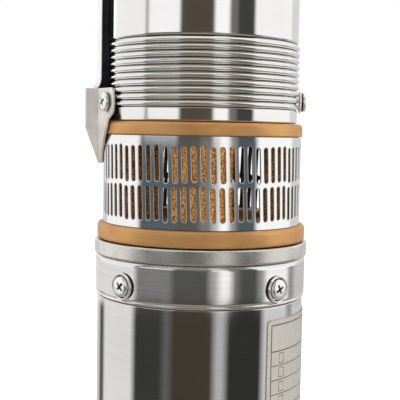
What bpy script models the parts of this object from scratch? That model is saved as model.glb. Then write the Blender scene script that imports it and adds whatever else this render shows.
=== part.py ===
"""Borehole pump: sealed motor, brass inlet behind a slotted strainer, ribbed pump tube and outlet head.

The pump stands on its flat base at the origin, with +Z up its axis. The lead guard runs up the -X side.
"""

import math

import bmesh
import bpy
from mathutils import Matrix, Vector

MM = 0.001

# Clearance between pieces that touch, and the number of sides of a large round piece.
GAP = 0.3 * MM
ROUND_SIDES = 40
SMALL_SIDES = 14
SHARP_ANGLE = math.radians(35)

# Motor, from the base up.
MOTOR_RADIUS = 48.0 * MM
COLLAR_RADIUS = 48.8 * MM
BAND_RADIUS = 49.4 * MM
BASE_CAP_TOP = 9.0 * MM
COLLAR_HEIGHT = 18.5 * MM
BAND_HEIGHT = 6.6 * MM
INLET_Z = 300.0 * MM

# Screws of the motor collars, with the cup that each head sits in.
COLLAR_SCREW_OFFSET = math.radians(43)
COLLAR_SCREW_RISE = 7.55 * MM
COLLAR_HEAD_RADIUS = 4.4 * MM
COLLAR_HEAD_HEIGHT = 1.9 * MM
CUP_RADIUS = 5.9 * MM
CUP_HEIGHT = 1.2 * MM

# Brass inlet, with heights above the foot of its lower ring.
LOWER_RING_RADIUS = 48.3 * MM
LOWER_RING_HEIGHT = 7.3 * MM
LOWER_RING_BRIM = 1.5 * MM
UPPER_RING_RADIUS = 46.3 * MM
UPPER_RING_FOOT = 47.5 * MM
UPPER_RING_TOP = 53.2 * MM
UPPER_RING_BRIM = 1.1 * MM
CAGE_RADIUS = 44.7 * MM
CAGE_INNER_RADIUS = 31.5 * MM
COLUMN_HALF_WIDTH = 13.3 * MM
WINDOW_FOOT = 10.9 * MM
WINDOW_TOP = 43.2 * MM
LEAD_COLUMN_DEPTH = 17.5 * MM
LEAD_GROOVE_RADIUS = 38.4 * MM
LEAD_GROOVE_HALF_WIDTH = 7.5 * MM

# Strainer sheet. Its slots were punched five at a time by a tool that stood a little askew.
STRAINER_RADIUS = 45.8 * MM
STRAINER_SHEET = 0.8 * MM
SLOT_PITCHES = 70
SLOT_GROUP = 5
SLOT_WIDTH = 2.05 * MM
SLOT_SKEW = math.radians(2.5)
SLOT_END_POINTS = 3
LOWER_SLOTS = (11.0 * MM, 25.7 * MM)
UPPER_SLOTS = (27.6 * MM, 42.9 * MM)
SLOT_ROW_SPLIT = 26.65 * MM
LAP_AZIMUTH = math.radians(16.4)
LAP_RISE_PITCHES = 2

# Motor shaft and coupling inside the inlet.
SHAFT_RADIUS = 7.0 * MM
COUPLING_RADIUS = 12.0 * MM
COUPLING_FOOT = 14.0 * MM
COUPLING_TOP = 40.0 * MM

# Pump tube, with ten rolled ribs at each end.
TUBE_RADIUS = 43.6 * MM
TUBE_LENGTH = 215.5 * MM
RIB_COUNT = 10
RIB_PITCH = 2.96 * MM
RIB_PEAK = 44.3 * MM
RIB_VALLEY = 42.95 * MM
RIB_START = 6.15 * MM
RIB_FLARE = 3.2 * MM

# Flat motor lead, and the folded guard that covers it.
LEAD_THICKNESS = 5.0 * MM
LEAD_HALF_WIDTH = 7.0 * MM
LEAD_INSIDE_RADIUS = 41.5 * MM
LEAD_OUTSIDE_RADIUS = 47.1 * MM
LEAD_TUBE_RADIUS = 46.4 * MM
GUARD_RADIUS = 52.4 * MM
GUARD_EDGE_RADIUS = 46.5 * MM
GUARD_HALF_WIDTH = 9.6 * MM
GUARD_WEB_HALF_WIDTH = 8.1 * MM
GUARD_SHEET = 1.0 * MM
GUARD_CORNER_HEIGHT = 6.0 * MM
GUARD_CORNER_DEPTH = 3.6 * MM
GUARD_TOP = 564.0 * MM
BRACKET_SHEET = 1.1 * MM
BRACKET_RADIUS = 53.6 * MM
BRACKET_FOLD_RADIUS = 46.9 * MM
BRACKET_HALF_WIDTH = 11.0 * MM
WING_RADIUS = 45.8 * MM
WING_HALF_WIDTH = 22.7 * MM
WING_SCREW_REACH = 7.4 * MM
CLIP_HEIGHT = 20.0 * MM
SCOOP_SCREW_RISE = 61.7 * MM
SIDE_SCREW_RISE = 63.6 * MM
TUBE_SCREW_RADIUS = 4.25 * MM
TUBE_SCREW_HEIGHT = 2.2 * MM
WASHER_RADIUS = 4.9 * MM
WASHER_SHEET = 0.8 * MM

# Outlet head, with heights above its own foot.
HEAD_SHOULDER_RADIUS = 42.0 * MM
BOSS_RADIUS = 27.5 * MM
BOSS_FLAT = 25.6 * MM
HEAD_HEIGHT = 52.0 * MM
OUTLET_RADIUS = 19.5 * MM
OUTLET_DEPTH = 26.0 * MM
VALVE_RADIUS = 15.0 * MM
EAR_THICKNESS = 9.0 * MM
EAR_REACH = 41.0 * MM
EAR_TOP = 38.0 * MM
EYE_RADIUS = 5.5 * MM

# Blank rating plate, with azimuths from the +X side.
PLATE_AZIMUTHS = (math.radians(-52), math.radians(28))
PLATE_TOP = 32.0 * MM
PLATE_HEIGHT = 108.0 * MM
PLATE_SHEET = 0.25 * MM

MOTOR_TOP_Z = INLET_Z - 0.4 * MM
BAND_FOOT_Z = MOTOR_TOP_Z - BAND_HEIGHT
COLLAR_TOP_Z = BAND_FOOT_Z - GAP
COLLAR_FOOT_Z = COLLAR_TOP_Z - COLLAR_HEIGHT
BASE_COLLAR_FOOT_Z = BASE_CAP_TOP + GAP
BASE_COLLAR_TOP_Z = BASE_COLLAR_FOOT_Z + COLLAR_HEIGHT
TUBE_FOOT_Z = INLET_Z + UPPER_RING_TOP + GAP
TUBE_TOP_Z = TUBE_FOOT_Z + TUBE_LENGTH
HEAD_Z = TUBE_TOP_Z + GAP
BRACKET_TOP_Z = INLET_Z + 68.0 * MM
CLIP_FOOT_Z = TUBE_TOP_Z - RIB_START - CLIP_HEIGHT


def metal(name, colour, roughness, metallic=1.0):
    """A Principled material of one colour."""
    made = bpy.data.materials.new(name)
    made.use_nodes = True
    shader = made.node_tree.nodes["Principled BSDF"]
    shader.inputs["Base Color"].default_value = (*colour, 1.0)
    shader.inputs["Roughness"].default_value = roughness
    shader.inputs["Metallic"].default_value = metallic
    return made


def add_object(name, mesh, material):
    """An object of this mesh in the scene, smooth except at its sharp edges."""
    obj = bpy.data.objects.new(name, mesh)
    bpy.context.scene.collection.objects.link(obj)
    if not mesh.materials:
        mesh.materials.append(material)
    mesh.shade_smooth()
    mesh.set_sharp_from_angle(angle=SHARP_ANGLE)
    return obj


def mesh_of(bm, name):
    """The bmesh as a mesh, with its faces turned outwards."""
    bmesh.ops.recalc_face_normals(bm, faces=bm.faces)
    mesh = bpy.data.meshes.new(name)
    bm.to_mesh(mesh)
    bm.free()
    return mesh


def turned_mesh(name, profile, sides=ROUND_SIDES, closed=False):
    """A profile of (radius, height) points turned round the Z axis. A closed profile makes a ring."""
    bm = bmesh.new()
    points = [bm.verts.new((radius, 0.0, height)) for radius, height in profile]
    pairs = list(zip(points, points[1:]))
    if closed:
        pairs.append((points[-1], points[0]))
    edges = [bm.edges.new(pair) for pair in pairs]
    bmesh.ops.spin(
        bm,
        geom=points + edges,
        axis=(0, 0, 1),
        cent=(0, 0, 0),
        angle=math.tau,
        steps=sides,
        use_merge=True,
    )
    bmesh.ops.remove_doubles(bm, verts=bm.verts, dist=0.001 * MM)
    return mesh_of(bm, name)


def box_mesh(name, boxes):
    """One mesh of boxes, each given by its lowest and highest corners."""
    bm = bmesh.new()
    for low, high in boxes:
        size = Vector(high) - Vector(low)
        middle = (Vector(high) + Vector(low)) / 2
        bmesh.ops.create_cube(bm, size=1.0, matrix=Matrix.Translation(middle) @ Matrix.Diagonal((*size, 1.0)))
    return mesh_of(bm, name)


def add_boolean(obj, name, mesh, operation):
    """A Boolean modifier with a hidden helper object of this mesh."""
    helper = bpy.data.objects.new(name, mesh)
    bpy.context.scene.collection.objects.link(helper)
    helper.hide_render = True
    helper.display_type = "WIRE"
    modifier = obj.modifiers.new(name, "BOOLEAN")
    modifier.operation = operation
    modifier.solver = "EXACT"
    modifier.object = helper
    return helper


def folded_sheet(name, stations, thickness, material):
    """A sheet through rows of points, one row for each height, thickened towards the axis."""
    bm = bmesh.new()
    rows = [[bm.verts.new(point) for point in row] for row in stations]
    for low, high in zip(rows, rows[1:]):
        for index in range(len(low) - 1):
            bm.faces.new((low[index], low[index + 1], high[index + 1], high[index]))
    mesh = bpy.data.meshes.new(name)
    bm.to_mesh(mesh)
    bm.free()
    obj = add_object(name, mesh, material)
    solid = obj.modifiers.new("sheet", "SOLIDIFY")
    solid.thickness = thickness
    solid.offset = -1.0
    solid.use_even_offset = True
    return obj


def polar(radius, azimuth, height):
    return Vector((radius * math.cos(azimuth), radius * math.sin(azimuth), height))


def facing(point, direction):
    """A matrix that puts local +Z along a level direction, with local +Y kept upright."""
    forward = direction.normalized()
    up = Vector((0.0, 0.0, 1.0))
    side = up.cross(forward)
    turn = Matrix((side, up, forward)).transposed().to_4x4()
    return Matrix.Translation(point) @ turn


def cross_head_mesh(name, radius, height, material):
    """A domed screw head with a cross recess, standing on its seat at local zero."""
    profile = [
        (0.0, 0.0),
        (radius, 0.0),
        (radius, 0.4 * height),
        (0.82 * radius, 0.85 * height),
        (0.5 * radius, height),
        (0.0, height),
    ]
    template = add_object(name, turned_mesh(name, profile, SMALL_SIDES), material)
    arm = 0.55 * radius
    half = 0.13 * radius
    outline = [(half, half), (half, arm), (-half, arm)]
    bm = bmesh.new()
    corners = []
    for quarter in range(4):
        turn = Matrix.Rotation(quarter * math.pi / 2, 3, "Z")
        corners += [bm.verts.new(turn @ Vector((x, y, 0.45 * height))) for x, y in outline]
    face = bm.faces.new(corners)
    top = bmesh.ops.extrude_face_region(bm, geom=[face])["geom"]
    bmesh.ops.translate(bm, vec=(0, 0, height), verts=[v for v in top if isinstance(v, bmesh.types.BMVert)])
    recess = add_boolean(template, name + "_recess", mesh_of(bm, name + "_recess"), "DIFFERENCE")
    evaluated = template.evaluated_get(bpy.context.evaluated_depsgraph_get())
    cut = bpy.data.meshes.new_from_object(evaluated)
    bpy.data.objects.remove(template)
    bpy.data.objects.remove(recess)
    return cut


def cylinder_solid(name, outline, material):
    """A turned solid whose outline runs from the axis at its foot to the axis at its top."""
    foot = outline[0][1]
    top = outline[-1][1]
    profile = [(0.0, foot), *outline, (0.0, top)]
    return add_object(name, turned_mesh(name, profile), material)


def motor(materials):
    """The base cap, the two screwed collars, the tube between them and the satin band on top."""
    cylinder_solid(
        "base_cap",
        [
            (43.0 * MM, 0.0),
            (46.0 * MM, 1.2 * MM),
            (47.6 * MM, 4.0 * MM),
            (47.6 * MM, BASE_CAP_TOP),
        ],
        materials["satin"],
    )
    lip = 1.4 * MM
    for name, low, high in (
        ("base_collar", BASE_COLLAR_FOOT_Z, BASE_COLLAR_TOP_Z),
        ("top_collar", COLLAR_FOOT_Z, COLLAR_TOP_Z),
    ):
        cylinder_solid(
            name,
            [
                (MOTOR_RADIUS, low),
                (COLLAR_RADIUS, low + lip),
                (COLLAR_RADIUS, high - lip),
                (MOTOR_RADIUS, high),
            ],
            materials["polished"],
        )
    cylinder_solid(
        "motor_tube",
        [(MOTOR_RADIUS, BASE_COLLAR_TOP_Z + GAP), (MOTOR_RADIUS, COLLAR_FOOT_Z - GAP)],
        materials["polished"],
    )
    edge = 0.7 * MM
    cylinder_solid(
        "motor_band",
        [
            (BAND_RADIUS - edge, BAND_FOOT_Z),
            (BAND_RADIUS, BAND_FOOT_Z + edge),
            (BAND_RADIUS, MOTOR_TOP_Z - edge),
            (BAND_RADIUS - edge, MOTOR_TOP_Z),
        ],
        materials["satin"],
    )


def cup_mesh(material):
    """A dished ring that stands round a screw head."""
    inner = COLLAR_HEAD_RADIUS + GAP
    profile = [
        (inner, 0.0),
        (CUP_RADIUS, 0.0),
        (CUP_RADIUS - 0.2 * MM, 0.7 * CUP_HEIGHT),
        (inner + 0.6 * MM, CUP_HEIGHT),
        (inner, CUP_HEIGHT),
    ]
    mesh = turned_mesh("cup", profile, SMALL_SIDES, closed=True)
    mesh.materials.append(material)
    return mesh


def collar_screws(materials):
    """Four cross-head screws in each collar, two at the front and two behind."""
    head = cross_head_mesh("collar_head", COLLAR_HEAD_RADIUS, COLLAR_HEAD_HEIGHT, materials["polished"])
    cup = cup_mesh(materials["polished"])
    front = -math.pi / 2
    azimuths = [
        front - COLLAR_SCREW_OFFSET,
        front + COLLAR_SCREW_OFFSET,
        front + math.pi - COLLAR_SCREW_OFFSET,
        front + math.pi + COLLAR_SCREW_OFFSET,
    ]
    for part, foot in (("top", COLLAR_FOOT_Z), ("base", BASE_COLLAR_FOOT_Z)):
        for number, azimuth in enumerate(azimuths, 1):
            seat = polar(COLLAR_RADIUS + GAP, azimuth, foot + COLLAR_SCREW_RISE)
            placed = facing(seat, polar(1.0, azimuth, 0.0))
            add_object(f"{part}_collar_screw_{number}", head, materials["polished"]).matrix_world = placed
            add_object(f"{part}_collar_cup_{number}", cup, materials["polished"]).matrix_world = placed


def inlet_housing(materials):
    """One brass casting: two rings joined by four columns, one of them grooved for the motor lead."""
    edge = 0.7 * MM
    profile = [
        (26.0 * MM, 0.0),
        (LOWER_RING_RADIUS - edge, 0.0),
        (LOWER_RING_RADIUS, edge),
        (LOWER_RING_RADIUS, LOWER_RING_HEIGHT - LOWER_RING_BRIM),
        (LOWER_RING_RADIUS - 0.3 * LOWER_RING_BRIM, LOWER_RING_HEIGHT - 0.3 * LOWER_RING_BRIM),
        (LOWER_RING_RADIUS - LOWER_RING_BRIM, LOWER_RING_HEIGHT),
        (CAGE_RADIUS, LOWER_RING_HEIGHT),
        (CAGE_RADIUS, UPPER_RING_FOOT),
        (UPPER_RING_RADIUS - edge, UPPER_RING_FOOT),
        (UPPER_RING_RADIUS, UPPER_RING_FOOT + edge),
        (UPPER_RING_RADIUS, UPPER_RING_TOP - UPPER_RING_BRIM),
        (UPPER_RING_RADIUS - UPPER_RING_BRIM, UPPER_RING_TOP),
        (16.0 * MM, UPPER_RING_TOP),
        (16.0 * MM, WINDOW_TOP + GAP),
        (CAGE_INNER_RADIUS, WINDOW_TOP + GAP),
        (CAGE_INNER_RADIUS, LOWER_RING_HEIGHT),
        (26.0 * MM, LOWER_RING_HEIGHT),
    ]
    housing = add_object(
        "inlet_housing", turned_mesh("inlet_housing", profile, closed=True), materials["brass"]
    )
    thick = ((-34 * MM, -9.5 * MM, 7 * MM), (-LEAD_COLUMN_DEPTH, 9.5 * MM, 44.5 * MM))
    far = 60 * MM
    near = COLUMN_HALF_WIDTH
    windows = []
    for x_sign in (1, -1):
        for y_sign in (1, -1):
            xs = sorted((x_sign * near, x_sign * far))
            ys = sorted((y_sign * near, y_sign * far))
            windows.append(((xs[0], ys[0], WINDOW_FOOT), (xs[1], ys[1], WINDOW_TOP)))
    groove = (
        (-far, -LEAD_GROOVE_HALF_WIDTH, LOWER_RING_HEIGHT + 2 * GAP),
        (-LEAD_GROOVE_RADIUS, LEAD_GROOVE_HALF_WIDTH, far),
    )
    helpers = [
        add_boolean(housing, "lead_column", box_mesh("lead_column", [thick]), "UNION"),
        add_boolean(housing, "inlet_windows", box_mesh("inlet_windows", windows), "DIFFERENCE"),
        add_boolean(housing, "lead_groove", box_mesh("lead_groove", [groove]), "DIFFERENCE"),
    ]
    for obj in (housing, *helpers):
        obj.location.z = INLET_Z


def slot_outline(centre, low, high, skew):
    """The points round one slot, anticlockwise from its lower left, in the flattened sheet."""
    half = SLOT_WIDTH / 2
    points = []
    for middle, start in ((low + half, math.pi), (high - half, 0.0)):
        for step in range(SLOT_END_POINTS):
            angle = start + math.pi * step / (SLOT_END_POINTS - 1)
            points.append(Vector((half * math.cos(angle), middle + half * math.sin(angle))))
    pivot = Vector((0.0, (low + high) / 2))
    turn = Matrix.Rotation(skew, 2)
    return [turn @ (point - pivot) + pivot + Vector((centre, 0.0)) for point in points]


def slotted_cell(left, right, low, high, slot):
    """Triangles between the corners of a cell and the slot in it, as (s, height) points."""
    corners = [Vector((left, low)), Vector((right, low)), Vector((right, high)), Vector((left, high))]
    if slot is None:
        return [(corners[0], corners[1], corners[2]), (corners[0], corners[2], corners[3])]
    half = SLOT_END_POINTS // 2
    count = len(slot)
    faces = []
    nearest = [0] * half + [1] * (SLOT_END_POINTS - half)
    nearest += [2] * half + [3] * (SLOT_END_POINTS - half)
    for index in range(count):
        after = (index + 1) % count
        here = corners[nearest[index]]
        beyond = corners[nearest[after]]
        faces.append((here, slot[after], slot[index]))
        if nearest[after] != nearest[index]:
            faces.append((here, beyond, slot[after]))
    return faces


def strainer(materials):
    """A slotted sheet bent round the cage, with its ends lapped on the +X side and a notch for the lead."""
    pitch = math.tau * STRAINER_RADIUS / SLOT_PITCHES
    foot = LOWER_RING_HEIGHT + GAP
    top = UPPER_RING_FOOT - GAP
    notch_foot = 37.0 * MM
    lap_lift = STRAINER_SHEET + GAP
    start = -LAP_AZIMUTH * STRAINER_RADIUS
    turn_length = math.tau * STRAINER_RADIUS
    faces = []
    for cell in range(SLOT_PITCHES + 1):
        left = cell * pitch
        right = left + pitch
        middle = left + pitch / 2
        azimuth = math.degrees((middle - start) / STRAINER_RADIUS)
        lapped = cell in (0, SLOT_PITCHES)
        notched = abs(azimuth - 180) < math.degrees(1.05 * LEAD_GROOVE_HALF_WIDTH / STRAINER_RADIUS)
        step = (cell % SLOT_GROUP - (SLOT_GROUP - 1) / 2) * pitch * math.tan(SLOT_SKEW)
        slots = [None, None]
        if not lapped:
            slots[0] = slot_outline(middle, LOWER_SLOTS[0] + step, LOWER_SLOTS[1] + step, SLOT_SKEW)
        if not lapped and not notched:
            slots[1] = slot_outline(middle, UPPER_SLOTS[0] + step, UPPER_SLOTS[1] + step, SLOT_SKEW)
        faces += slotted_cell(left, right, foot, SLOT_ROW_SPLIT, slots[0])
        faces += slotted_cell(left, right, SLOT_ROW_SPLIT, notch_foot if notched else top, slots[1])
    bm = bmesh.new()
    made = {}
    for face in faces:
        corners = []
        for along, height in face:
            key = (round(along / MM, 4), round(height / MM, 4))
            if key not in made:
                over = (along - turn_length + LAP_RISE_PITCHES * pitch) / (LAP_RISE_PITCHES * pitch)
                radius = STRAINER_RADIUS + lap_lift * min(max(over, 0.0), 1.0)
                made[key] = bm.verts.new(polar(radius, (along - start) / STRAINER_RADIUS, height))
            corners.append(made[key])
        bm.faces.new(corners)
    mesh = bpy.data.meshes.new("strainer")
    bm.to_mesh(mesh)
    bm.free()
    sheet = add_object("strainer", mesh, materials["polished"])
    solid = sheet.modifiers.new("sheet", "SOLIDIFY")
    solid.thickness = STRAINER_SHEET
    solid.offset = -1.0
    sheet.location.z = INLET_Z


def shaft_and_coupling(materials):
    """The motor shaft, the coupling on it and the pump shaft above, seen between the columns."""
    pieces = (
        ("motor_shaft", SHAFT_RADIUS, MOTOR_TOP_Z + GAP, INLET_Z + COUPLING_FOOT - GAP, "dark"),
        ("coupling", COUPLING_RADIUS, INLET_Z + COUPLING_FOOT, INLET_Z + COUPLING_TOP, "satin"),
        ("pump_shaft", SHAFT_RADIUS, INLET_Z + COUPLING_TOP + GAP, TUBE_FOOT_Z - GAP, "dark"),
    )
    for name, radius, low, high, finish in pieces:
        edge = 0.6 * MM
        profile = [
            (0.0, low),
            (radius - edge, low),
            (radius, low + edge),
            (radius, high - edge),
            (radius - edge, high),
            (0.0, high),
        ]
        add_object(name, turned_mesh(name, profile, SMALL_SIDES), materials[finish])


def rib_points(foot, upwards):
    """Peaks and valleys of one ribbed zone from its foot up, with a slight flare on the side of the tube."""
    points = []
    if not upwards:
        points.append((TUBE_RADIUS + 0.5 * MM, foot - 0.5 * MM))
    for rib in range(RIB_COUNT):
        points.append((RIB_VALLEY, foot + rib * RIB_PITCH))
        points.append((RIB_PEAK, foot + (rib + 0.5) * RIB_PITCH))
    top = foot + RIB_COUNT * RIB_PITCH
    points.append((RIB_VALLEY, top))
    if upwards:
        points.append((TUBE_RADIUS + 0.5 * MM, top + 0.5 * MM))
    return points


def pump_tube(materials):
    """The drawn tube round the pump stages, closed as one solid, with a ribbed zone near each end."""
    edge = 0.5 * MM
    lower = TUBE_FOOT_Z + RIB_START
    upper = TUBE_TOP_Z - RIB_START - RIB_COUNT * RIB_PITCH
    outline = [(TUBE_RADIUS - edge, TUBE_FOOT_Z), (TUBE_RADIUS, TUBE_FOOT_Z + edge)]
    outline.append((TUBE_RADIUS, lower - edge))
    outline += rib_points(lower, upwards=True)
    outline.append((TUBE_RADIUS, lower + RIB_COUNT * RIB_PITCH + RIB_FLARE))
    outline.append((TUBE_RADIUS, upper - RIB_FLARE))
    outline += rib_points(upper, upwards=False)
    outline.append((TUBE_RADIUS, TUBE_TOP_Z - RIB_START + edge))
    outline += [(TUBE_RADIUS, TUBE_TOP_Z - edge), (TUBE_RADIUS - edge, TUBE_TOP_Z)]
    cylinder_solid("pump_tube", outline, materials["polished"])


def smooth_step(value):
    bounded = min(max(value, 0.0), 1.0)
    return bounded * bounded * (3 - 2 * bounded)


def stadium(half_width, half_thickness, arc_points):
    """A flat section with half-round ends, as (x, y) points with the width along y."""
    straight = half_width - half_thickness
    points = []
    for side, start in ((1, 0.0), (-1, math.pi)):
        for step in range(arc_points):
            angle = start + math.pi * step / (arc_points - 1)
            x = half_thickness * math.cos(angle)
            points.append((x, side * straight + half_thickness * math.sin(angle)))
    return points


def lead_path():
    """(height, radius) of the lead's centre: up the groove, over the ring and ribs, in against the tube."""
    ribs_top = TUBE_FOOT_Z + RIB_START + RIB_COUNT * RIB_PITCH
    ribs_again = TUBE_TOP_Z - RIB_START - RIB_COUNT * RIB_PITCH
    settle = 14.0 * MM
    bends = (
        (INLET_Z + 33.0 * MM, INLET_Z + 58.0 * MM, LEAD_INSIDE_RADIUS, LEAD_OUTSIDE_RADIUS, 8),
        (ribs_top, ribs_top + settle, LEAD_OUTSIDE_RADIUS, LEAD_TUBE_RADIUS, 3),
        (ribs_again - settle, ribs_again, LEAD_TUBE_RADIUS, LEAD_OUTSIDE_RADIUS, 3),
    )
    path = [(INLET_Z + 15.3 * MM, LEAD_INSIDE_RADIUS)]
    for low, high, before, after, steps in bends:
        for step in range(steps + 1):
            part = step / steps
            path.append((low + part * (high - low), before + smooth_step(part) * (after - before)))
    path.append((GUARD_TOP - 2.0 * MM, LEAD_OUTSIDE_RADIUS))
    return path


def motor_lead(materials):
    """The flat lead, from its gland at the foot of the groove to just inside the top of the guard."""
    section = stadium(LEAD_HALF_WIDTH, LEAD_THICKNESS / 2, 4)
    bm = bmesh.new()
    loops = []
    for height, radius in lead_path():
        loops.append([bm.verts.new((x - radius, y, height)) for x, y in section])
    for lower, upper in zip(loops, loops[1:]):
        for index in range(len(section)):
            after = (index + 1) % len(section)
            bm.faces.new((lower[index], lower[after], upper[after], upper[index]))
    bm.faces.new(loops[0])
    bm.faces.new(loops[-1])
    add_object("motor_lead", mesh_of(bm, "motor_lead"), materials["rubber"])


def lead_gland(materials):
    """The moulded gland where the lead leaves the motor, seated on the lower ring inside the groove."""
    half_thickness = LEAD_THICKNESS / 2
    section = stadium(LEAD_HALF_WIDTH + 0.2 * MM, half_thickness + 0.1 * MM, 4)
    low = INLET_Z + LOWER_RING_HEIGHT + 3 * GAP
    high = INLET_Z + 15.0 * MM
    bm = bmesh.new()
    points = [bm.verts.new((x - LEAD_INSIDE_RADIUS, y, low)) for x, y in section]
    face = bm.faces.new(points)
    top = bmesh.ops.extrude_face_region(bm, geom=[face])["geom"]
    moved = [v for v in top if isinstance(v, bmesh.types.BMVert)]
    bmesh.ops.translate(bm, vec=(0, 0, high - low), verts=moved)
    add_object("lead_gland", mesh_of(bm, "lead_gland"), materials["rubber"])


def cable_guard(materials):
    """A channel over the lead: its sides stand apart a little, and their lower corners are rounded off."""
    low = BRACKET_TOP_Z - 0.8 * MM
    splay = (GUARD_HALF_WIDTH - GUARD_WEB_HALF_WIDTH) / (GUARD_RADIUS - GUARD_EDGE_RADIUS)
    stations = []
    corner_steps = 5
    angles = [math.pi / 2 * step / corner_steps for step in range(corner_steps + 1)]
    heights = [GUARD_CORNER_HEIGHT * (1 - math.cos(angle)) for angle in angles]
    heights.append(GUARD_TOP - low)
    for rise in heights:
        away = max(1.0 - rise / GUARD_CORNER_HEIGHT, 0.0)
        trim = GUARD_CORNER_DEPTH * (1.0 - math.sqrt(1.0 - away**2))
        edge = GUARD_EDGE_RADIUS + trim
        half = GUARD_HALF_WIDTH - splay * trim
        stations.append(
            [
                Vector((-edge, half, low + rise)),
                Vector((-GUARD_RADIUS, GUARD_WEB_HALF_WIDTH, low + rise)),
                Vector((-GUARD_RADIUS, -GUARD_WEB_HALF_WIDTH, low + rise)),
                Vector((-edge, -half, low + rise)),
            ]
        )
    folded_sheet("cable_guard", stations, GUARD_SHEET, materials["polished"])


def hat_row(height, web, web_half, fold, end_half, end_radius):
    """One row across a bracket: wing end, fold, web, web, fold, wing end."""
    reach = math.sqrt(end_radius**2 - end_half**2)
    half_row = [
        Vector((-reach, end_half, height)),
        Vector((-fold, web_half, height)),
        Vector((-web, web_half, height)),
    ]
    mirrored = [Vector((point.x, -point.y, point.z)) for point in reversed(half_row)]
    return half_row + mirrored


def wing_seat():
    """The middle of a front wing's screw seat in plan, and the way that the wing faces."""
    fold = Vector((-BRACKET_FOLD_RADIUS, -BRACKET_HALF_WIDTH, 0.0))
    reach = math.sqrt(WING_RADIUS**2 - WING_HALF_WIDTH**2)
    end = Vector((-reach, -WING_HALF_WIDTH, 0.0))
    along = (end - fold).normalized()
    outward = Vector((along.y, -along.x, 0.0))
    return fold + along * WING_SCREW_REACH, outward


def add_wing_screws(names, height, mesh, materials):
    """A cross-head screw on each wing of a bracket, front then back."""
    seat, outward = wing_seat()
    for name, side in zip(names, (1, -1)):
        point = Vector((seat.x, side * seat.y, height))
        direction = Vector((outward.x, side * outward.y, 0.0))
        placed = facing(point + direction * GAP, direction)
        add_object(name, mesh, materials["polished"]).matrix_world = placed


def guard_scoop(materials):
    """The scoop at the guard's foot: it narrows to a tip that lies close to the strainer."""
    straight_foot = 50.7 * MM
    tip = 33.9 * MM
    tip_web = 48.3 * MM
    tip_fold = 47.3 * MM
    tip_wing = 47.3 * MM
    tip_half = 3.6 * MM
    over_ring = UPPER_RING_RADIUS + BRACKET_SHEET + 0.9 * MM
    wing_rows = (
        (tip, 4.8 * MM, tip_wing),
        (38.0 * MM, 8.4 * MM, tip_wing),
        (43.0 * MM, 14.2 * MM, tip_wing),
        (47.0 * MM, 19.0 * MM, over_ring - 0.3 * MM),
        (straight_foot, 21.8 * MM, over_ring),
        (54.3 * MM, 22.6 * MM, over_ring - 0.3 * MM),
        (57.5 * MM, WING_HALF_WIDTH, WING_RADIUS + 0.2 * MM),
        (61.0 * MM, WING_HALF_WIDTH, WING_RADIUS),
        (66.0 * MM, 22.3 * MM, WING_RADIUS),
        (68.0 * MM, 21.0 * MM, WING_RADIUS),
    )
    rows = []
    for rise, end_half, end_radius in wing_rows:
        slope = min((rise - tip) / (straight_foot - tip), 1.0)
        web = tip_web + slope * (BRACKET_RADIUS - tip_web)
        web_half = tip_half + slope * (BRACKET_HALF_WIDTH - tip_half)
        fold = tip_fold + slope * (BRACKET_FOLD_RADIUS - tip_fold)
        rows.append(hat_row(INLET_Z + rise, web, web_half, fold, end_half, end_radius))
    folded_sheet("guard_scoop", rows, BRACKET_SHEET, materials["satin"])


def guard_clip(materials):
    """The straight clip over the guard's top end, with its corners cut off."""
    corner = 2.5 * MM
    rows = []
    for rise, trim in ((0.0, corner), (corner, 0.0), (CLIP_HEIGHT - corner, 0.0), (CLIP_HEIGHT, corner)):
        end_half = WING_HALF_WIDTH - trim
        height = CLIP_FOOT_Z + rise
        rows.append(
            hat_row(height, BRACKET_RADIUS, BRACKET_HALF_WIDTH, BRACKET_FOLD_RADIUS, end_half, WING_RADIUS)
        )
    folded_sheet("guard_clip", rows, BRACKET_SHEET, materials["satin"])


def tube_screws(materials):
    """The screws that hold the brackets to the pump tube, and one with a washer on the tube's other side."""
    head = cross_head_mesh("tube_head", TUBE_SCREW_RADIUS, TUBE_SCREW_HEIGHT, materials["polished"])
    clip_screw_z = CLIP_FOOT_Z + CLIP_HEIGHT / 2
    add_wing_screws(("scoop_screw_front", "scoop_screw_back"), INLET_Z + SCOOP_SCREW_RISE, head, materials)
    add_wing_screws(("clip_screw_front", "clip_screw_back"), clip_screw_z, head, materials)
    profile = [(0.0, 0.0), (WASHER_RADIUS, 0.0), (WASHER_RADIUS, WASHER_SHEET), (0.0, WASHER_SHEET)]
    washer = turned_mesh("tube_washer", profile, SMALL_SIDES)
    side = Vector((1.0, 0.0, 0.0))
    for name, height in (("lower", INLET_Z + SIDE_SCREW_RISE), ("upper", clip_screw_z)):
        seat = Vector((RIB_PEAK + GAP, 0.0, height))
        add_object(f"{name}_tube_washer", washer, materials["satin"]).matrix_world = facing(seat, side)
        seat = seat + side * (WASHER_SHEET + GAP)
        add_object(f"{name}_tube_screw", head, materials["polished"]).matrix_world = facing(seat, side)


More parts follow.
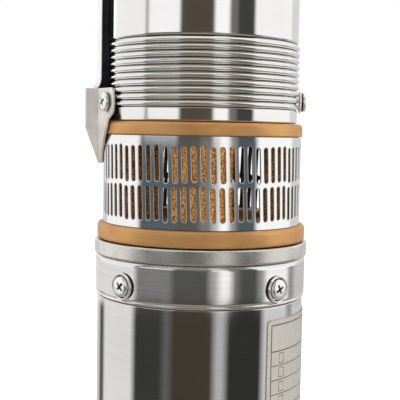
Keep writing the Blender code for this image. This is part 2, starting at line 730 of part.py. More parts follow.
def discharge_head(materials):
    """The brass head: a ring like the inlet's, a shoulder, and a threaded boss between two rope ears."""
    edge = 0.7 * MM
    ring_top = UPPER_RING_TOP - UPPER_RING_FOOT
    profile = [
        (0.0, 0.0),
        (UPPER_RING_RADIUS - edge, 0.0),
        (UPPER_RING_RADIUS, edge),
        (UPPER_RING_RADIUS, ring_top - UPPER_RING_BRIM),
        (UPPER_RING_RADIUS - UPPER_RING_BRIM, ring_top),
        (HEAD_SHOULDER_RADIUS, ring_top),
        (HEAD_SHOULDER_RADIUS, 11.0 * MM),
        (38.5 * MM, 16.0 * MM),
        (31.0 * MM, 21.0 * MM),
        (BOSS_RADIUS, 26.0 * MM),
        (BOSS_RADIUS, HEAD_HEIGHT - edge),
        (BOSS_RADIUS - edge, HEAD_HEIGHT),
        (OUTLET_RADIUS + edge, HEAD_HEIGHT),
        (OUTLET_RADIUS, HEAD_HEIGHT - edge),
        (OUTLET_RADIUS, HEAD_HEIGHT - OUTLET_DEPTH),
        (VALVE_RADIUS + 2 * GAP, HEAD_HEIGHT - OUTLET_DEPTH),
        (VALVE_RADIUS + 2 * GAP, HEAD_HEIGHT - OUTLET_DEPTH - 4.0 * MM),
        (0.0, HEAD_HEIGHT - OUTLET_DEPTH - 4.0 * MM),
    ]
    head = add_object("discharge_head", turned_mesh("discharge_head", profile), materials["brass"])
    eye = Vector((0.0, EAR_REACH - 8.5 * MM, EAR_TOP - 8.5 * MM))
    arc_steps = 6
    outline = [(23.0 * MM, 12.0 * MM), (EAR_REACH, 12.0 * MM)]
    for step in range(arc_steps + 1):
        angle = math.pi / 2 * step / arc_steps
        outline.append((eye.y + 8.5 * MM * math.cos(angle), eye.z + 8.5 * MM * math.sin(angle)))
    outline.append((23.0 * MM, EAR_TOP))
    ears = bmesh.new()
    for side in (1, -1):
        corners = [ears.verts.new((-EAR_THICKNESS / 2, side * y, z)) for y, z in outline]
        face = ears.faces.new(corners)
        top = bmesh.ops.extrude_face_region(ears, geom=[face])["geom"]
        moved = [v for v in top if isinstance(v, bmesh.types.BMVert)]
        bmesh.ops.translate(ears, vec=(EAR_THICKNESS, 0, 0), verts=moved)
    eyes = bmesh.new()
    for side in (1, -1):
        place = Matrix.Translation((0.0, side * eye.y, eye.z)) @ Matrix.Rotation(math.pi / 2, 4, "Y")
        bmesh.ops.create_cone(
            eyes,
            cap_ends=True,
            segments=SMALL_SIDES,
            radius1=EYE_RADIUS,
            radius2=EYE_RADIUS,
            depth=3 * EAR_THICKNESS,
            matrix=place,
        )
    far = 40 * MM
    low = 30.0 * MM
    flats = [
        ((BOSS_FLAT, -far, low), (far, far, HEAD_HEIGHT - 6 * MM)),
        ((-far, -far, low), (-BOSS_FLAT, far, HEAD_HEIGHT - 6 * MM)),
    ]
    helpers = [
        add_boolean(head, "rope_ears", mesh_of(ears, "rope_ears"), "UNION"),
        add_boolean(head, "rope_eyes", mesh_of(eyes, "rope_eyes"), "DIFFERENCE"),
        add_boolean(head, "spanner_flats", box_mesh("spanner_flats", flats), "DIFFERENCE"),
    ]
    for obj in (head, *helpers):
        obj.location.z = HEAD_Z
    floor = HEAD_Z + HEAD_HEIGHT - OUTLET_DEPTH - 4.0 * MM + GAP
    valve_profile = [
        (0.0, floor),
        (VALVE_RADIUS, floor),
        (VALVE_RADIUS, floor + 3.0 * MM),
        (VALVE_RADIUS - 2.5 * MM, floor + 5.5 * MM),
        (4.0 * MM, floor + 7.0 * MM),
        (4.0 * MM, floor + 12.0 * MM),
        (0.0, floor + 12.0 * MM),
    ]
    add_object("outlet_valve", turned_mesh("outlet_valve", valve_profile, 20), materials["satin"])


def rating_plate(materials):
    """A thin blank plate bent round the motor tube."""
    top = INLET_Z - PLATE_TOP
    low = top - PLATE_HEIGHT
    steps = 9
    first, last = PLATE_AZIMUTHS
    outer = MOTOR_RADIUS + GAP + PLATE_SHEET
    rows = []
    for height in (low, top):
        azimuths = [first + (last - first) * step / steps for step in range(steps + 1)]
        rows.append([polar(outer, azimuth, height) for azimuth in azimuths])
    folded_sheet("rating_plate", rows, PLATE_SHEET, materials["plate"])


def main():
    for obj in list(bpy.data.objects):
        bpy.data.objects.remove(obj)
    materials = {
        "polished": metal("polished_steel", (0.66, 0.65, 0.64), 0.12),
        "satin": metal("satin_steel", (0.52, 0.51, 0.49), 0.32),
        "dark": metal("dark_steel", (0.28, 0.28, 0.29), 0.3),
        "brass": metal("brass", (0.70, 0.47, 0.22), 0.34),
        "rubber": metal("rubber", (0.02, 0.02, 0.02), 0.55, 0.0),
        "plate": metal("plate", (0.55, 0.55, 0.56), 0.45, 0.6),
    }
    motor(materials)
    collar_screws(materials)
    inlet_housing(materials)
    strainer(materials)
    shaft_and_coupling(materials)
    lead_gland(materials)
    motor_lead(materials)
    pump_tube(materials)
    cable_guard(materials)
    guard_scoop(materials)
    guard_clip(materials)
    tube_screws(materials)
    discharge_head(materials)
    rating_plate(materials)


if __name__ == "__main__":
    main()
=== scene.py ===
"""Looks of a borehole pump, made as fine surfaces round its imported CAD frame.

Shapes are worked out in millimetres as whole arrays, and put into meshes in metres where the frame has them.
"""

import math

import bpy
import numpy as np
from bpy.props import FloatProperty, FloatVectorProperty, IntProperty, PointerProperty
from mathutils import Matrix


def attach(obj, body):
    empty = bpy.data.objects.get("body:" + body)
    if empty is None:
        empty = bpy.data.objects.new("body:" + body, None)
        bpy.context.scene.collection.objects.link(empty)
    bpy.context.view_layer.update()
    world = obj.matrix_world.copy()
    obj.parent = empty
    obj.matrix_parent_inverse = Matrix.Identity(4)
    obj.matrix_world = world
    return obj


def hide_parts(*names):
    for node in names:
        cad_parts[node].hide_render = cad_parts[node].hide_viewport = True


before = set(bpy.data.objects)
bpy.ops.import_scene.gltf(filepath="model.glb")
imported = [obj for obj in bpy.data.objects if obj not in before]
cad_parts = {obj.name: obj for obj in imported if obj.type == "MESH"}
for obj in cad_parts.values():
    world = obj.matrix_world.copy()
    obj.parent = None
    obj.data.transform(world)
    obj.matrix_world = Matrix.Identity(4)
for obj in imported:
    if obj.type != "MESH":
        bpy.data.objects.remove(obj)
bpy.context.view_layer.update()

bl_info = {
    "name": "Borehole pump",
    "version": (1, 0, 0),
    "blender": (4, 5, 0),
    "location": "View3D > Sidebar > Pump",
    "description": "Fine surfaces and finishes for a submersible borehole pump",
    "category": "Object",
}

MM = 0.001
TAU = math.tau
FRONT = -math.pi / 2

# Heights and radii of the main pieces as the solids have them, in millimetres. A pair is a foot and a top.
MOTOR_TUBE = (28.1, 273.9)
MOTOR_RADIUS = 48.0
TOP_COLLAR = (274.2, 292.7)
BASE_COLLAR = (9.3, 27.8)
COLLAR_RADIUS = 48.8
COLLAR_SCREW_RISE = 7.55
BAND = (293.0, 299.6)
BAND_RADIUS = 49.4
PLATE_TOP = 268.0
PLATE_TALL = 108.0
PLATE_WIDE = 67.8
INLET = 300.0
INLET_RADIUS = 44.6
COLUMN_BACK = 31.5
SHELVES = (INLET + 10.9, INLET + 43.2)
LEAD_GROOVE = 7.5
TUBE = (353.5, 569.0)
TUBE_RADIUS = 43.6
RIB_START = 6.15
RIBS_TALL = 29.6
LEAD_RADIUS = 41.5
LEAD_HALF_THICKNESS = 2.5
GUARD = (367.2, 564.0)
WING_FOLD = (46.9, 11.0)
WING_END_RADIUS = 45.8
WING_HALF_WIDTH = 22.7
WING_SCREW = 7.4
CLIP = (542.85, 562.85)
SCOOP_SCREW = INLET + 61.7
SIDE_SCREW = INLET + 63.6
HEAD_FOOT = 569.3


# Sizes and colours.


def length_property(name, description, millimetres):
    """A length that is shown in the scene's own unit."""
    return FloatProperty(name=name, description=description, default=millimetres * MM, unit="LENGTH")


def colour_property(name, description, *values):
    """A colour of three values."""
    return FloatVectorProperty(name=name, description=description, default=values, size=3, subtype="COLOR")


class PumpSizes(bpy.types.PropertyGroup):
    """Sizes that can be changed without leaving the frame's solids."""

    slot_count: IntProperty(name="Slots", description="Slot places round the strainer", default=70, min=20)
    slot_width: length_property("Slot width", "Width of one strainer slot", 2.05)
    slot_rim: length_property("Slot rim", "Width of the rounded rim of a slot", 0.34)
    slot_skew: FloatProperty(
        name="Slot skew", description="Lean of the slots", default=math.radians(2.5), subtype="ANGLE"
    )
    rib_count: IntProperty(name="Ribs", description="Rolled ribs near each end", default=10, min=2)
    rib_pitch: length_property("Rib pitch", "Height of one rolled rib", 2.96)
    rib_peak: length_property("Rib peak", "Radius of the pump tube at a rib", 44.3)
    rib_valley: length_property("Rib valley", "Radius of the pump tube between ribs", 42.95)
    cast_depth: length_property("Cast waviness", "Unevenness of the cast columns", 0.22)


class PumpFinishes(bpy.types.PropertyGroup):
    """Colours and gloss of the pump's finishes."""

    steel: colour_property("Steel", "Colour of the steel", 0.96, 0.95, 0.935)
    polish: FloatProperty(
        name="Polish", description="Roughness of pump tube and strainer", default=0.07, subtype="FACTOR"
    )
    satin: colour_property("Satin steel", "Colour of the satin steel", 0.82, 0.785, 0.74)
    brass: colour_property("Brass", "Colour of the turned brass", 0.68, 0.37, 0.14)
    cast: colour_property("Cast brass", "Colour of the cast brass", 0.86, 0.43, 0.11)
    rubber: colour_property("Rubber", "Colour of the lead", 0.004, 0.005, 0.006)
    plate: colour_property("Plate", "Colour of the rating plate", 0.345, 0.325, 0.29)


# Shapes.


def soft_line(corners, trims, steps=5, closed=False):
    """A line of straights with rounded corners.

    Each corner P is left at its trim's distance on either side, and between those two points A and B the line
    follows the parabola (1-s)^2 A + 2 s (1-s) P + s^2 B. A point a little outside each end holds the straight
    flat. Leading axes of the corners are carried along, so a whole stack of sections is rounded at once.
    """
    corners = np.asarray(corners, float)
    back = np.roll(corners, 1, axis=-2) - corners
    ahead = np.roll(corners, -1, axis=-2) - corners
    back_length = np.linalg.norm(back, axis=-1, keepdims=True)
    ahead_length = np.linalg.norm(ahead, axis=-1, keepdims=True)
    reach = np.minimum(np.asarray(trims, float)[..., None], 0.38 * np.minimum(back_length, ahead_length))
    back = back / back_length * reach
    ahead = ahead / ahead_length * reach
    middle = corners[..., None, :]
    start = middle + back[..., None, :]
    stop = middle + ahead[..., None, :]
    s = np.linspace(0.0, 1.0, steps)[:, None]
    arc = (1 - s) ** 2 * start + 2 * s * (1 - s) * middle + s**2 * stop
    arc = np.concatenate([start + 0.3 * back[..., None, :], arc, stop + 0.3 * ahead[..., None, :]], axis=-2)
    if not closed:
        arc = arc[..., 1:-1, :, :]
    line = arc.reshape(*arc.shape[:-3], -1, arc.shape[-1])
    if closed:
        return line
    return np.concatenate([corners[..., :1, :], line, corners[..., -1:, :]], axis=-2)


def grid_quads(rows, columns, wrap_rows=False, wrap_columns=False):
    """Corner numbers of a grid's quads, which face outwards where the columns run anticlockwise."""
    row, column = np.meshgrid(
        np.arange(rows if wrap_rows else rows - 1),
        np.arange(columns if wrap_columns else columns - 1),
        indexing="ij",
    )
    next_row = (row + 1) % rows
    next_column = (column + 1) % columns
    quads = [
        row * columns + column,
        row * columns + next_column,
        next_row * columns + next_column,
        next_row * columns + column,
    ]
    return np.stack(quads, axis=-1).reshape(-1, 4)


def revolved(line, sides):
    """A (radius, height) line turned round the Z axis: (r cos a, r sin a, h) at equal steps of a."""
    angle = TAU * np.arange(sides) / sides
    x = line[:, 0, None] * np.cos(angle)
    y = line[:, 0, None] * np.sin(angle)
    z = np.broadcast_to(line[:, 1, None], x.shape)
    return np.stack([x, y, z], axis=-1).reshape(-1, 3)


def turned(profile, sides=192, steps=5, closed=False):
    """A profile of (radius, height, trim) corners, rounded by their trims and revolved."""
    profile = np.array(profile, float)
    line = soft_line(profile[:, :2], profile[:, 2], steps, closed)
    return revolved(line, sides), grid_quads(len(line), sides, closed, True)


def risen(sections, heights):
    """Level sections as points in space: each keeps its x and y, and its height is its z."""
    sections = np.asarray(sections, float)
    z = np.broadcast_to(np.asarray(heights, float)[:, None, None], (*sections.shape[:2], 1))
    return np.concatenate([sections, z], axis=-1)


def lofted(sections, heights):
    """Closed level sections carried up through their heights, with both ends closed to their middles."""
    points = risen(sections, heights)
    rows, count = points.shape[:2]
    ends = [np.broadcast_to(end.mean(axis=1, keepdims=True), end.shape) for end in (points[:1], points[-1:])]
    points = np.concatenate([ends[0], points, ends[1]])
    return points.reshape(-1, 3), grid_quads(rows + 2, count, False, True)


def placed(shape, seat, azimuth, spin=0.0):
    """A shape made with +Z outwards and +Y upright, set on a seat at this azimuth.

    Its points are first spun round their own axis by the matrix (c, s; -s, c), and then take the side, up and
    outward directions at the azimuth as their axes.
    """
    points, quads = shape
    outward = np.array([math.cos(azimuth), math.sin(azimuth), 0.0])
    up = np.array([0.0, 0.0, 1.0])
    side = np.cross(up, outward)
    turn = np.stack([side, up, outward])
    c, s = math.cos(spin), math.sin(spin)
    spun = points @ np.array([[c, s, 0.0], [-s, c, 0.0], [0.0, 0.0, 1.0]])
    return spun @ turn + np.asarray(seat, float), quads


def smooth(value):
    """The S curve 3 v^2 - 2 v^3 of a value kept between 0 and 1."""
    value = np.clip(value, 0.0, 1.0)
    return value * value * (3 - 2 * value)


def joined(parts):
    """Several (points, quads) as one, with the corner numbers of each moved past the points before it."""
    counts = np.cumsum([0] + [len(points) for points, _ in parts[:-1]])
    points = np.concatenate([points for points, _ in parts])
    return points, np.concatenate([quads + count for count, (_, quads) in zip(counts, parts)])


def add_piece(name, shape, look, *nodes, normals=None, uv=None, sharp=38.0):
    """A piece that rides on the frame in place of the named nodes, with the finish that look names.

    Points that coincide are welded, which closes seams and poles; a quad that loses a corner is a triangle.
    """
    points, quads = shape
    points = np.asarray(points, float) * MM
    keys = np.round(points / (0.0005 * MM)).astype(np.int64)
    _, first, place = np.unique(keys, axis=0, return_index=True, return_inverse=True)
    place = place.reshape(-1)
    faces = place[quads]
    keep = faces != np.roll(faces, 1, axis=1)
    real = keep.sum(axis=1) > 2
    faces = faces[real]
    keep = keep[real]
    corners = faces[keep].astype(np.int32)
    counts = keep.sum(axis=1)
    mesh = bpy.data.meshes.new(name)
    mesh.vertices.add(len(first))
    mesh.vertices.foreach_set("co", points[first].astype(np.float32).ravel())
    mesh.loops.add(len(corners))
    mesh.loops.foreach_set("vertex_index", corners)
    mesh.polygons.add(len(counts))
    mesh.polygons.foreach_set("loop_start", (np.cumsum(counts) - counts).astype(np.int32))
    mesh.update(calc_edges=True)
    if mesh.validate():
        raise RuntimeError(f"{name} has faces that Blender had to mend")
    if uv is not None:
        layer = mesh.uv_layers.new(name="flat")
        layer.data.foreach_set("uv", np.asarray(uv)[first][corners].astype(np.float32).ravel())
    mesh.shade_smooth()
    mesh.set_sharp_from_angle(angle=math.radians(sharp))
    if normals is not None:
        total = np.zeros((len(first), 3))
        np.add.at(total, place, normals)
        total /= np.linalg.norm(total, axis=1, keepdims=True)
        mesh.normals_split_custom_set_from_vertices(total.tolist())
    piece = bpy.data.objects.new(name, mesh)
    bpy.context.scene.collection.objects.link(piece)
    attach(piece, "root")
    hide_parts(*nodes)
    dress(piece, look)
    return piece


def sheet_piece(name, points, thickness, look, node, hem):
    """A sheet through a grid of points, thickened away from its outer face, with its edges eased."""
    rows, columns = points.shape[:2]
    piece = add_piece(name, (points.reshape(-1, 3), grid_quads(rows, columns)), look, node)
    solid = piece.modifiers.new("sheet", "SOLIDIFY")
    solid.thickness = thickness * MM
    solid.offset = -1.0
    solid.use_even_offset = True
    bevel = piece.modifiers.new("hem", "BEVEL")
    bevel.width = hem * MM
    bevel.segments = 2
    bevel.limit_method = "ANGLE"
    bevel.angle_limit = math.radians(60)


# Finishes.


class Field:
    """One socket of a node tree. Sums and products of fields and numbers add its Math nodes."""

    def __init__(self, tree, socket):
        self.tree = tree
        self.socket = socket

    def node(self, kind, settings=None, inputs=None, output=0):
        """Adds a node: its settings first, with a ramp's stops, then the values or links of its sockets."""
        made = self.tree.nodes.new(kind)
        for name, value in (settings or {}).items():
            if name == "stops":
                ramp = made.color_ramp
                while len(ramp.elements) < len(value):
                    ramp.elements.new(0.5)
                for element, (position, colour) in zip(ramp.elements, value):
                    element.position = position
                    element.color = (*colour, 1.0)
            else:
                setattr(made, name, value)
        for name, value in (inputs or {}).items():
            if isinstance(value, Field):
                self.tree.links.new(value.socket, made.inputs[name])
            else:
                made.inputs[name].default_value = value
        return Field(self.tree, made.outputs[output])

    def math(self, operation, first, second=0.0):
        """A Math node on two fields or numbers."""
        return self.node("ShaderNodeMath", {"operation": operation}, {0: first, 1: second})

    def __add__(self, other):
        return self.math("ADD", self, other)

    __radd__ = __add__

    def __sub__(self, other):
        return self.math("SUBTRACT", self, other)

    def __rsub__(self, other):
        return self.math("SUBTRACT", other, self)

    def __mul__(self, other):
        return self.math("MULTIPLY", self, other)

    __rmul__ = __mul__

    def parts(self):
        """The three coordinates of this vector."""
        split = self.node("ShaderNodeSeparateXYZ", {}, {"Vector": self}).socket.node
        return [Field(self.tree, socket) for socket in split.outputs]

    def noise(self, scale, detail=3.0, stretch=(1.0, 1.0, 1.0), roughness=0.5):
        """Noise over these coordinates, in cells of 1/scale metres, drawn out by the stretch."""
        moved = self.node("ShaderNodeMapping", {}, {"Vector": self, "Scale": stretch})
        grain = {"Vector": moved, "Scale": scale, "Detail": detail, "Roughness": roughness}
        return self.node("ShaderNodeTexNoise", {}, grain)

    def step(self, low, high, start=0.0, stop=1.0):
        """The S curve from start to stop as this value goes from low to high."""
        return self.node(
            "ShaderNodeMapRange",
            {"interpolation_type": "SMOOTHSTEP"},
            {"Value": self, "From Min": low, "From Max": high, "To Min": start, "To Max": stop},
        )

    def blend(self, first, second):
        """A colour that goes from the first to the second with this value."""
        return self.node("ShaderNodeMix", {"data_type": "RGBA"}, {0: self, 6: first, 7: second}, 2)

    def bump(self, depth_mm, strength=1.0):
        """A normal raised by this value over so many millimetres."""
        relief = {"Strength": strength, "Distance": depth_mm * MM, "Height": self}
        return self.node("ShaderNodeBump", {}, relief)


def colour(values, gain=1.0):
    """A colour with its alpha, each value times the gain and at most 1."""
    return (*(min(value * gain, 1.0) for value in values), 1.0)


def make_finish(name, sockets, values):
    """A material with the sockets that a finish gives: numbers and colours as they are, fields as links."""
    material = bpy.data.materials.new(name)
    material.use_nodes = True
    tree = material.node_tree
    shader = tree.nodes["Principled BSDF"]
    # The screws and the plate have flat coordinates of their own.
    coordinates = "UV" if sockets in (bright, blank_form) else "Object"
    place = Field(tree, tree.nodes.new("ShaderNodeTexCoord").outputs[coordinates])
    for socket, value in sockets(place, **values).items():
        if isinstance(value, Field):
            tree.links.new(value.socket, shader.inputs[socket])
        else:
            shader.inputs[socket].default_value = value
    return material


def axis_distance(place):
    """The distance of a point from the pump's axis: the length of its place with the height taken out."""
    level = place.node("ShaderNodeVectorMath", {"operation": "MULTIPLY"}, {0: place, 1: (1.0, 1.0, 0.0)})
    return level.node("ShaderNodeVectorMath", {"operation": "LENGTH"}, {0: level}, 1)


def polished(place, tint, roughness, line_depth, metallic=1.0, streak=0.95, painted_shade_below=None):
    """Polished steel: level polishing lines and streaks, faint smears and a slow waviness of the drawn sheet.

    Where painted_shade_below names two radii in millimetres and a share, the steel is painted down to that
    share of its tint, as shade, as the distance from the axis falls from the second radius to the first.
    """
    lines = place.noise(900.0, 2.0, (0.03, 0.03, 4.0), 0.6)
    smears = place.noise(60.0, 4.0, (1.0, 1.0, 0.35))
    waves = place.noise(22.0, 1.0, (1.0, 1.0, 0.4))
    brushed = place.noise(900.0, 3.0, (0.02, 0.02, 1.3), 0.6) * 0.6 + smears * 0.4
    base = brushed.step(0.25, 0.75).blend(colour(tint), colour(tint, streak))
    if painted_shade_below:
        # Painted shade, darkest nearest the axis.
        low, high, share = painted_shade_below
        base = axis_distance(place).step(low * MM, high * MM).blend(colour(tint, share), base)
    return {
        "Base Color": base,
        "Metallic": metallic,
        "Roughness": smears.step(0.3, 0.8, roughness, roughness * 1.3),
        "Normal": (lines * line_depth + waves * 0.12).bump(0.03, 0.5),
    }


def satin(place, tint, roughness, metallic=1.0):
    """Satin steel: soft grain with lighter and darker patches."""
    grain = place.noise(2600.0, 2.0)
    patches = place.noise(110.0, 4.0, (1.0, 1.0, 0.6))
    return {
        "Base Color": patches.step(0.3, 0.7).blend(colour(tint, 0.86), colour(tint, 1.06)),
        "Metallic": metallic,
        "Roughness": patches.step(0.2, 0.8, roughness * 0.85, roughness * 1.2),
        "Normal": grain.bump(0.03, 0.5),
    }


def bright(flat, tint, roughness):
    """Bright screw steel, painted nearly black as shade where the first flat coordinate says that a place is
    sunk.
    """
    sunk_shade = flat.parts()[0]
    worn = flat.noise(6.0, 2.0)
    return {
        "Base Color": sunk_shade.step(0.15, 0.75).blend(colour(tint), (0.045, 0.035, 0.028, 1.0)),
        "Metallic": 0.95,
        "Roughness": worn.step(0.2, 0.8, roughness, roughness * 1.5),
    }


def lathe_brass(place, tint):
    """Turned brass: fine level turning lines and a slight tarnish."""
    lines = place.noise(700.0, 2.0, (0.04, 0.04, 3.0), 0.7)
    tarnish = place.noise(80.0, 4.0, (1.0, 1.0, 1.6))
    worn = colour((tint[0] * 0.9, tint[1] * 0.86, tint[2] * 0.84))
    return {
        "Base Color": tarnish.step(0.35, 0.75).blend(colour(tint), worn),
        "Metallic": 0.85,
        "Roughness": tarnish.step(0.2, 0.8, 0.40, 0.50),
        "Normal": lines.bump(0.06, 0.6),
    }


def sand_cast(place, tint):
    """Sand-cast brass: fine dark and light grains, darker towards the sides where less light gets in."""
    grains = place.noise(1700.0, 2.5, roughness=0.65)
    lumps = place.noise(420.0, 3.0)
    dark = (tint[0] * 0.22, tint[1] * 0.13, tint[2] * 0.08)
    across = place.parts()[0]
    body = grains.step(0.42, 0.62)
    middle = body.blend(colour(dark), colour(tint))
    side = body.blend(colour(dark, 0.7), colour(tint, 0.8))
    return {
        "Base Color": across.math("ABSOLUTE", across).step(12.0 * MM, 30.0 * MM).blend(middle, side),
        "Metallic": 0.6,
        "Roughness": 0.42,
        "Normal": (grains * 0.6 + lumps * 0.8).bump(0.35, 0.9),
    }


def dusty_rubber(place, tint):
    """Smooth black rubber with a dusty bloom."""
    bloom = place.noise(90.0, 4.0)
    grain = place.noise(1800.0, 2.0)
    return {
        "Base Color": bloom.step(0.4, 0.8).blend(colour(tint), colour(tint, 2.2)),
        "Metallic": 0.0,
        "Roughness": bloom.step(0.3, 0.8, 0.42, 0.58),
        "Specular IOR Level": 0.15,
        "Normal": grain.bump(0.02, 0.5),
    }


def rule(value, at, half):
    """1 within half of a place along a coordinate and 0 away from it, with soft edges."""
    off = value - at
    return off.math("ABSOLUTE", off).step(half * 0.6, half * 1.4, 1.0, 0.0)


def within(value, low, high):
    """1 between two places along a coordinate and 0 outside them, with soft edges."""
    soft = 0.15
    return value.step(low - soft, low + soft) * value.step(high - soft, high + soft, 1.0, 0.0)


def larger(first, *others):
    """The largest of some fields."""
    for other in others:
        first = first.math("MAXIMUM", first, other)
    return first


def blank_form(flat, tint):
    """A blank form on silver film: a dark frame, a header row, ruled rows and a small empty box in each.

    The flat coordinates are millimetres in from the plate's left edge and down from its upper edge.
    """
    across, down, _ = flat.parts()
    inset, header, pitch = 2.2, 13.9, 6.4
    width, height = PLATE_WIDE - inset, PLATE_TALL - inset
    columns, rows = within(across, inset, width), within(down, inset, height)
    edges = [rule(across, place, 0.28) * rows for place in (inset, width)]
    edges += [rule(down, place, 0.28) * columns for place in (inset, height)]
    ruled = [rule(down, header + pitch * row, 0.2) for row in range(1, 15)]
    rules = larger(rule(down, header, 0.25), *ruled)
    # The part of a row that a place is down it, times the pitch, puts one box into each row.
    step = (down - header) * (1 / pitch)
    place = step.math("FRACT", step) * pitch
    left, right, upper, lower, half = inset + 5.2, inset + 8.6, 1.1, 5.3, 0.16
    sides = larger(rule(across, left, half), rule(across, right, half)) * within(place, upper, lower)
    ends = larger(rule(place, upper, half), rule(place, lower, half)) * within(across, left, right)
    boxes = larger(sides, ends) * within(down, header, height)
    ink = larger(larger(rules, boxes) * (columns * rows), *edges)
    film = flat.noise(0.35, 3.0)
    base = film.step(0.3, 0.7).blend(colour(tint, 0.95), colour(tint, 1.06))
    return {
        "Base Color": ink.blend(base, (0.05, 0.05, 0.05, 1.0)),
        "Metallic": 0.35,
        "Roughness": film.step(0.2, 0.8, 0.42, 0.5),
        "Normal": film.bump(0.02, 0.3),
    }


def white_paper(place):
    """Seamless white paper that glows a little, so that it goes over into the white behind it."""
    soft = place.noise(3.0, 2.0)
    return {
        "Base Color": soft.step(0.2, 0.8).blend((0.9, 0.9, 0.9, 1.0), (0.92, 0.92, 0.92, 1.0)),
        "Roughness": 0.9,
        "Specular IOR Level": 0.1,
        "Emission Color": (1.0, 1.0, 1.0, 1.0),
        "Emission Strength": 0.45,
    }


def looks():
    """Each look: its material slot, its finish and that finish's values."""
    tints = bpy.context.scene.pump_finishes
    steel = {"tint": tints.steel, "roughness": 0.055}
    gloss = {"tint": tints.steel, "roughness": tints.polish}
    polish = "polished_steel"
    return {
        # The tube's rib grooves and the strainer's slot walls get painted shade below these radii.
        "tube_polish": (polish, polished, {**gloss, "line_depth": 0.08, "painted_shade_below": (43.0, 43.4, 0.15)}),
        "strainer_polish": (polish, polished, {**gloss, "line_depth": 0.2, "painted_shade_below": (45.1, 45.6, 0.12)}),
        "motor_polish": (polish, polished, {**steel, "line_depth": 0.16, "streak": 0.88}),
        "collar_polish": (polish, polished, {**steel, "line_depth": 0.1, "metallic": 0.995, "streak": 0.86}),
        "guard_polish": (polish, polished, {**steel, "roughness": 0.1, "line_depth": 0.1, "metallic": 0.5}),
        "screw_polish": (polish, bright, {**steel, "roughness": 0.15}),
        "satin": ("satin_steel", satin, {"tint": tints.satin, "roughness": 0.36, "metallic": 0.76}),
        "band_satin": ("satin_steel", satin, {"tint": tints.satin, "roughness": 0.27, "metallic": 0.97}),
        "dark_steel": ("dark_steel", satin, {"tint": (0.3, 0.3, 0.31), "roughness": 0.3}),
        "turned_brass": ("brass", lathe_brass, {"tint": tints.brass}),
        "cast_brass": ("brass", sand_cast, {"tint": tints.cast}),
        "rubber": ("rubber", dusty_rubber, {"tint": tints.rubber}),
        "plate_film": ("plate", blank_form, {"tint": tints.plate}),
    }


MADE = {}


def dress(piece, look):
    """Gives a piece, or a CAD node that stays shown, a look. A look's material is made once."""
    slot, sockets, values = looks()[look]
    if look not in MADE:
        MADE[look] = make_finish(look, sockets, values)
    piece.data.materials.clear()
    piece.data.materials.append(MADE[look])


# Pieces.


class PumpMotor(bpy.types.Operator):
    """Motor tube, collars, satin band and base cap as turned surfaces"""

    bl_idname = "object.pump_motor"
    bl_label = "Motor"

    def execute(self, context):
        foot = [(0, 0, 0), (44.6, 0, 2.2), (47.6, 3.4, 1.6), (47.6, 9.0, 0.4), (0, 9.0, 0)]
        add_piece("motor_foot", turned(foot), "satin", "base_cap")
        for name, (low, high), node in (
            ("collar_upper", TOP_COLLAR, "top_collar"),
            ("collar_lower", BASE_COLLAR, "base_collar"),
        ):
            profile = [
                (0, low, 0), (48.2, low, 0.25), (48.65, low + 0.6, 0.4), (48.65, low + 1.0, 0.25),
                (48.3, low + 1.5, 0.3), (COLLAR_RADIUS, low + 2.2, 0.4), (COLLAR_RADIUS, high - 1.3, 0.7),
                (48.0, high, 0.5), (0, high, 0),
            ]
            add_piece(name, turned(profile), "collar_polish", node)
        low, high = MOTOR_TUBE
        shell = [(0, low, 0), (MOTOR_RADIUS, low, 0.3), (MOTOR_RADIUS, high, 0.3), (0, high, 0)]
        add_piece("motor_shell", turned(shell), "motor_polish", "motor_tube")
        low, high = BAND
        rim = [
            (0, low, 0), (48.9, low, 0.3), (BAND_RADIUS, low + 0.55, 0.4), (BAND_RADIUS, high - 0.55, 0.4),
            (48.9, high, 0.3), (0, high, 0),
        ]
        add_piece("motor_rim", turned(rim), "band_satin", "motor_band")
        return {"FINISHED"}


def pan_head(radius, height, sides=112):
    """A pan head with a cross recess on a polar grid, and flat coordinates that first say how sunk it is, as
    painted shade.

    Out to the rim the height is a share 0.55 + 0.45 (1 - (r/R)^3.2)^(1/2) of the whole, less the recess: for
    each arm of the cross, an S curve of |x| times one of |y|. Below the rim the wall goes down to the seat.
    """
    share = np.concatenate([np.linspace(0.0, 0.62, 32), np.linspace(0.66, 0.9, 7), [0.94, 0.97, 0.99, 1.0]])
    angle = TAU * np.arange(sides) / sides
    r, a = np.meshgrid(share * radius, angle, indexing="ij")
    x, y = r * np.cos(a), r * np.sin(a)
    dome = 0.55 * height + 0.45 * height * np.sqrt(np.clip(1 - (r / radius) ** 3.2, 0.0, 1.0))
    arm, half = 0.46 * radius, 0.105 * radius
    deep = np.zeros_like(r)
    for p, q in ((x, y), (y, x)):
        across = smooth((half - np.abs(p)) / (0.06 * radius) + 0.5)
        along = smooth((arm - np.abs(q)) / (0.2 * radius) + 0.5)
        deep = np.maximum(deep, across * along)
    z = dome - 0.8 * height * deep
    rim = np.stack([x[-1], y[-1], np.zeros(sides)], axis=-1)[None]
    points = np.concatenate([np.stack([x, y, z], axis=-1), rim, rim * 0.0]).reshape(-1, 3)
    # The rows run outwards from the middle, so the columns are taken the other way round.
    quads = grid_quads(len(share) + 2, sides, False, True)[:, ::-1]
    # The recess and the head's side wall are marked for painted shade.
    sunk_shade = np.concatenate([deep.ravel(), np.ones(2 * sides)])
    return (points, quads), np.stack([sunk_shade, points[:, 0] * 0.2], axis=-1)


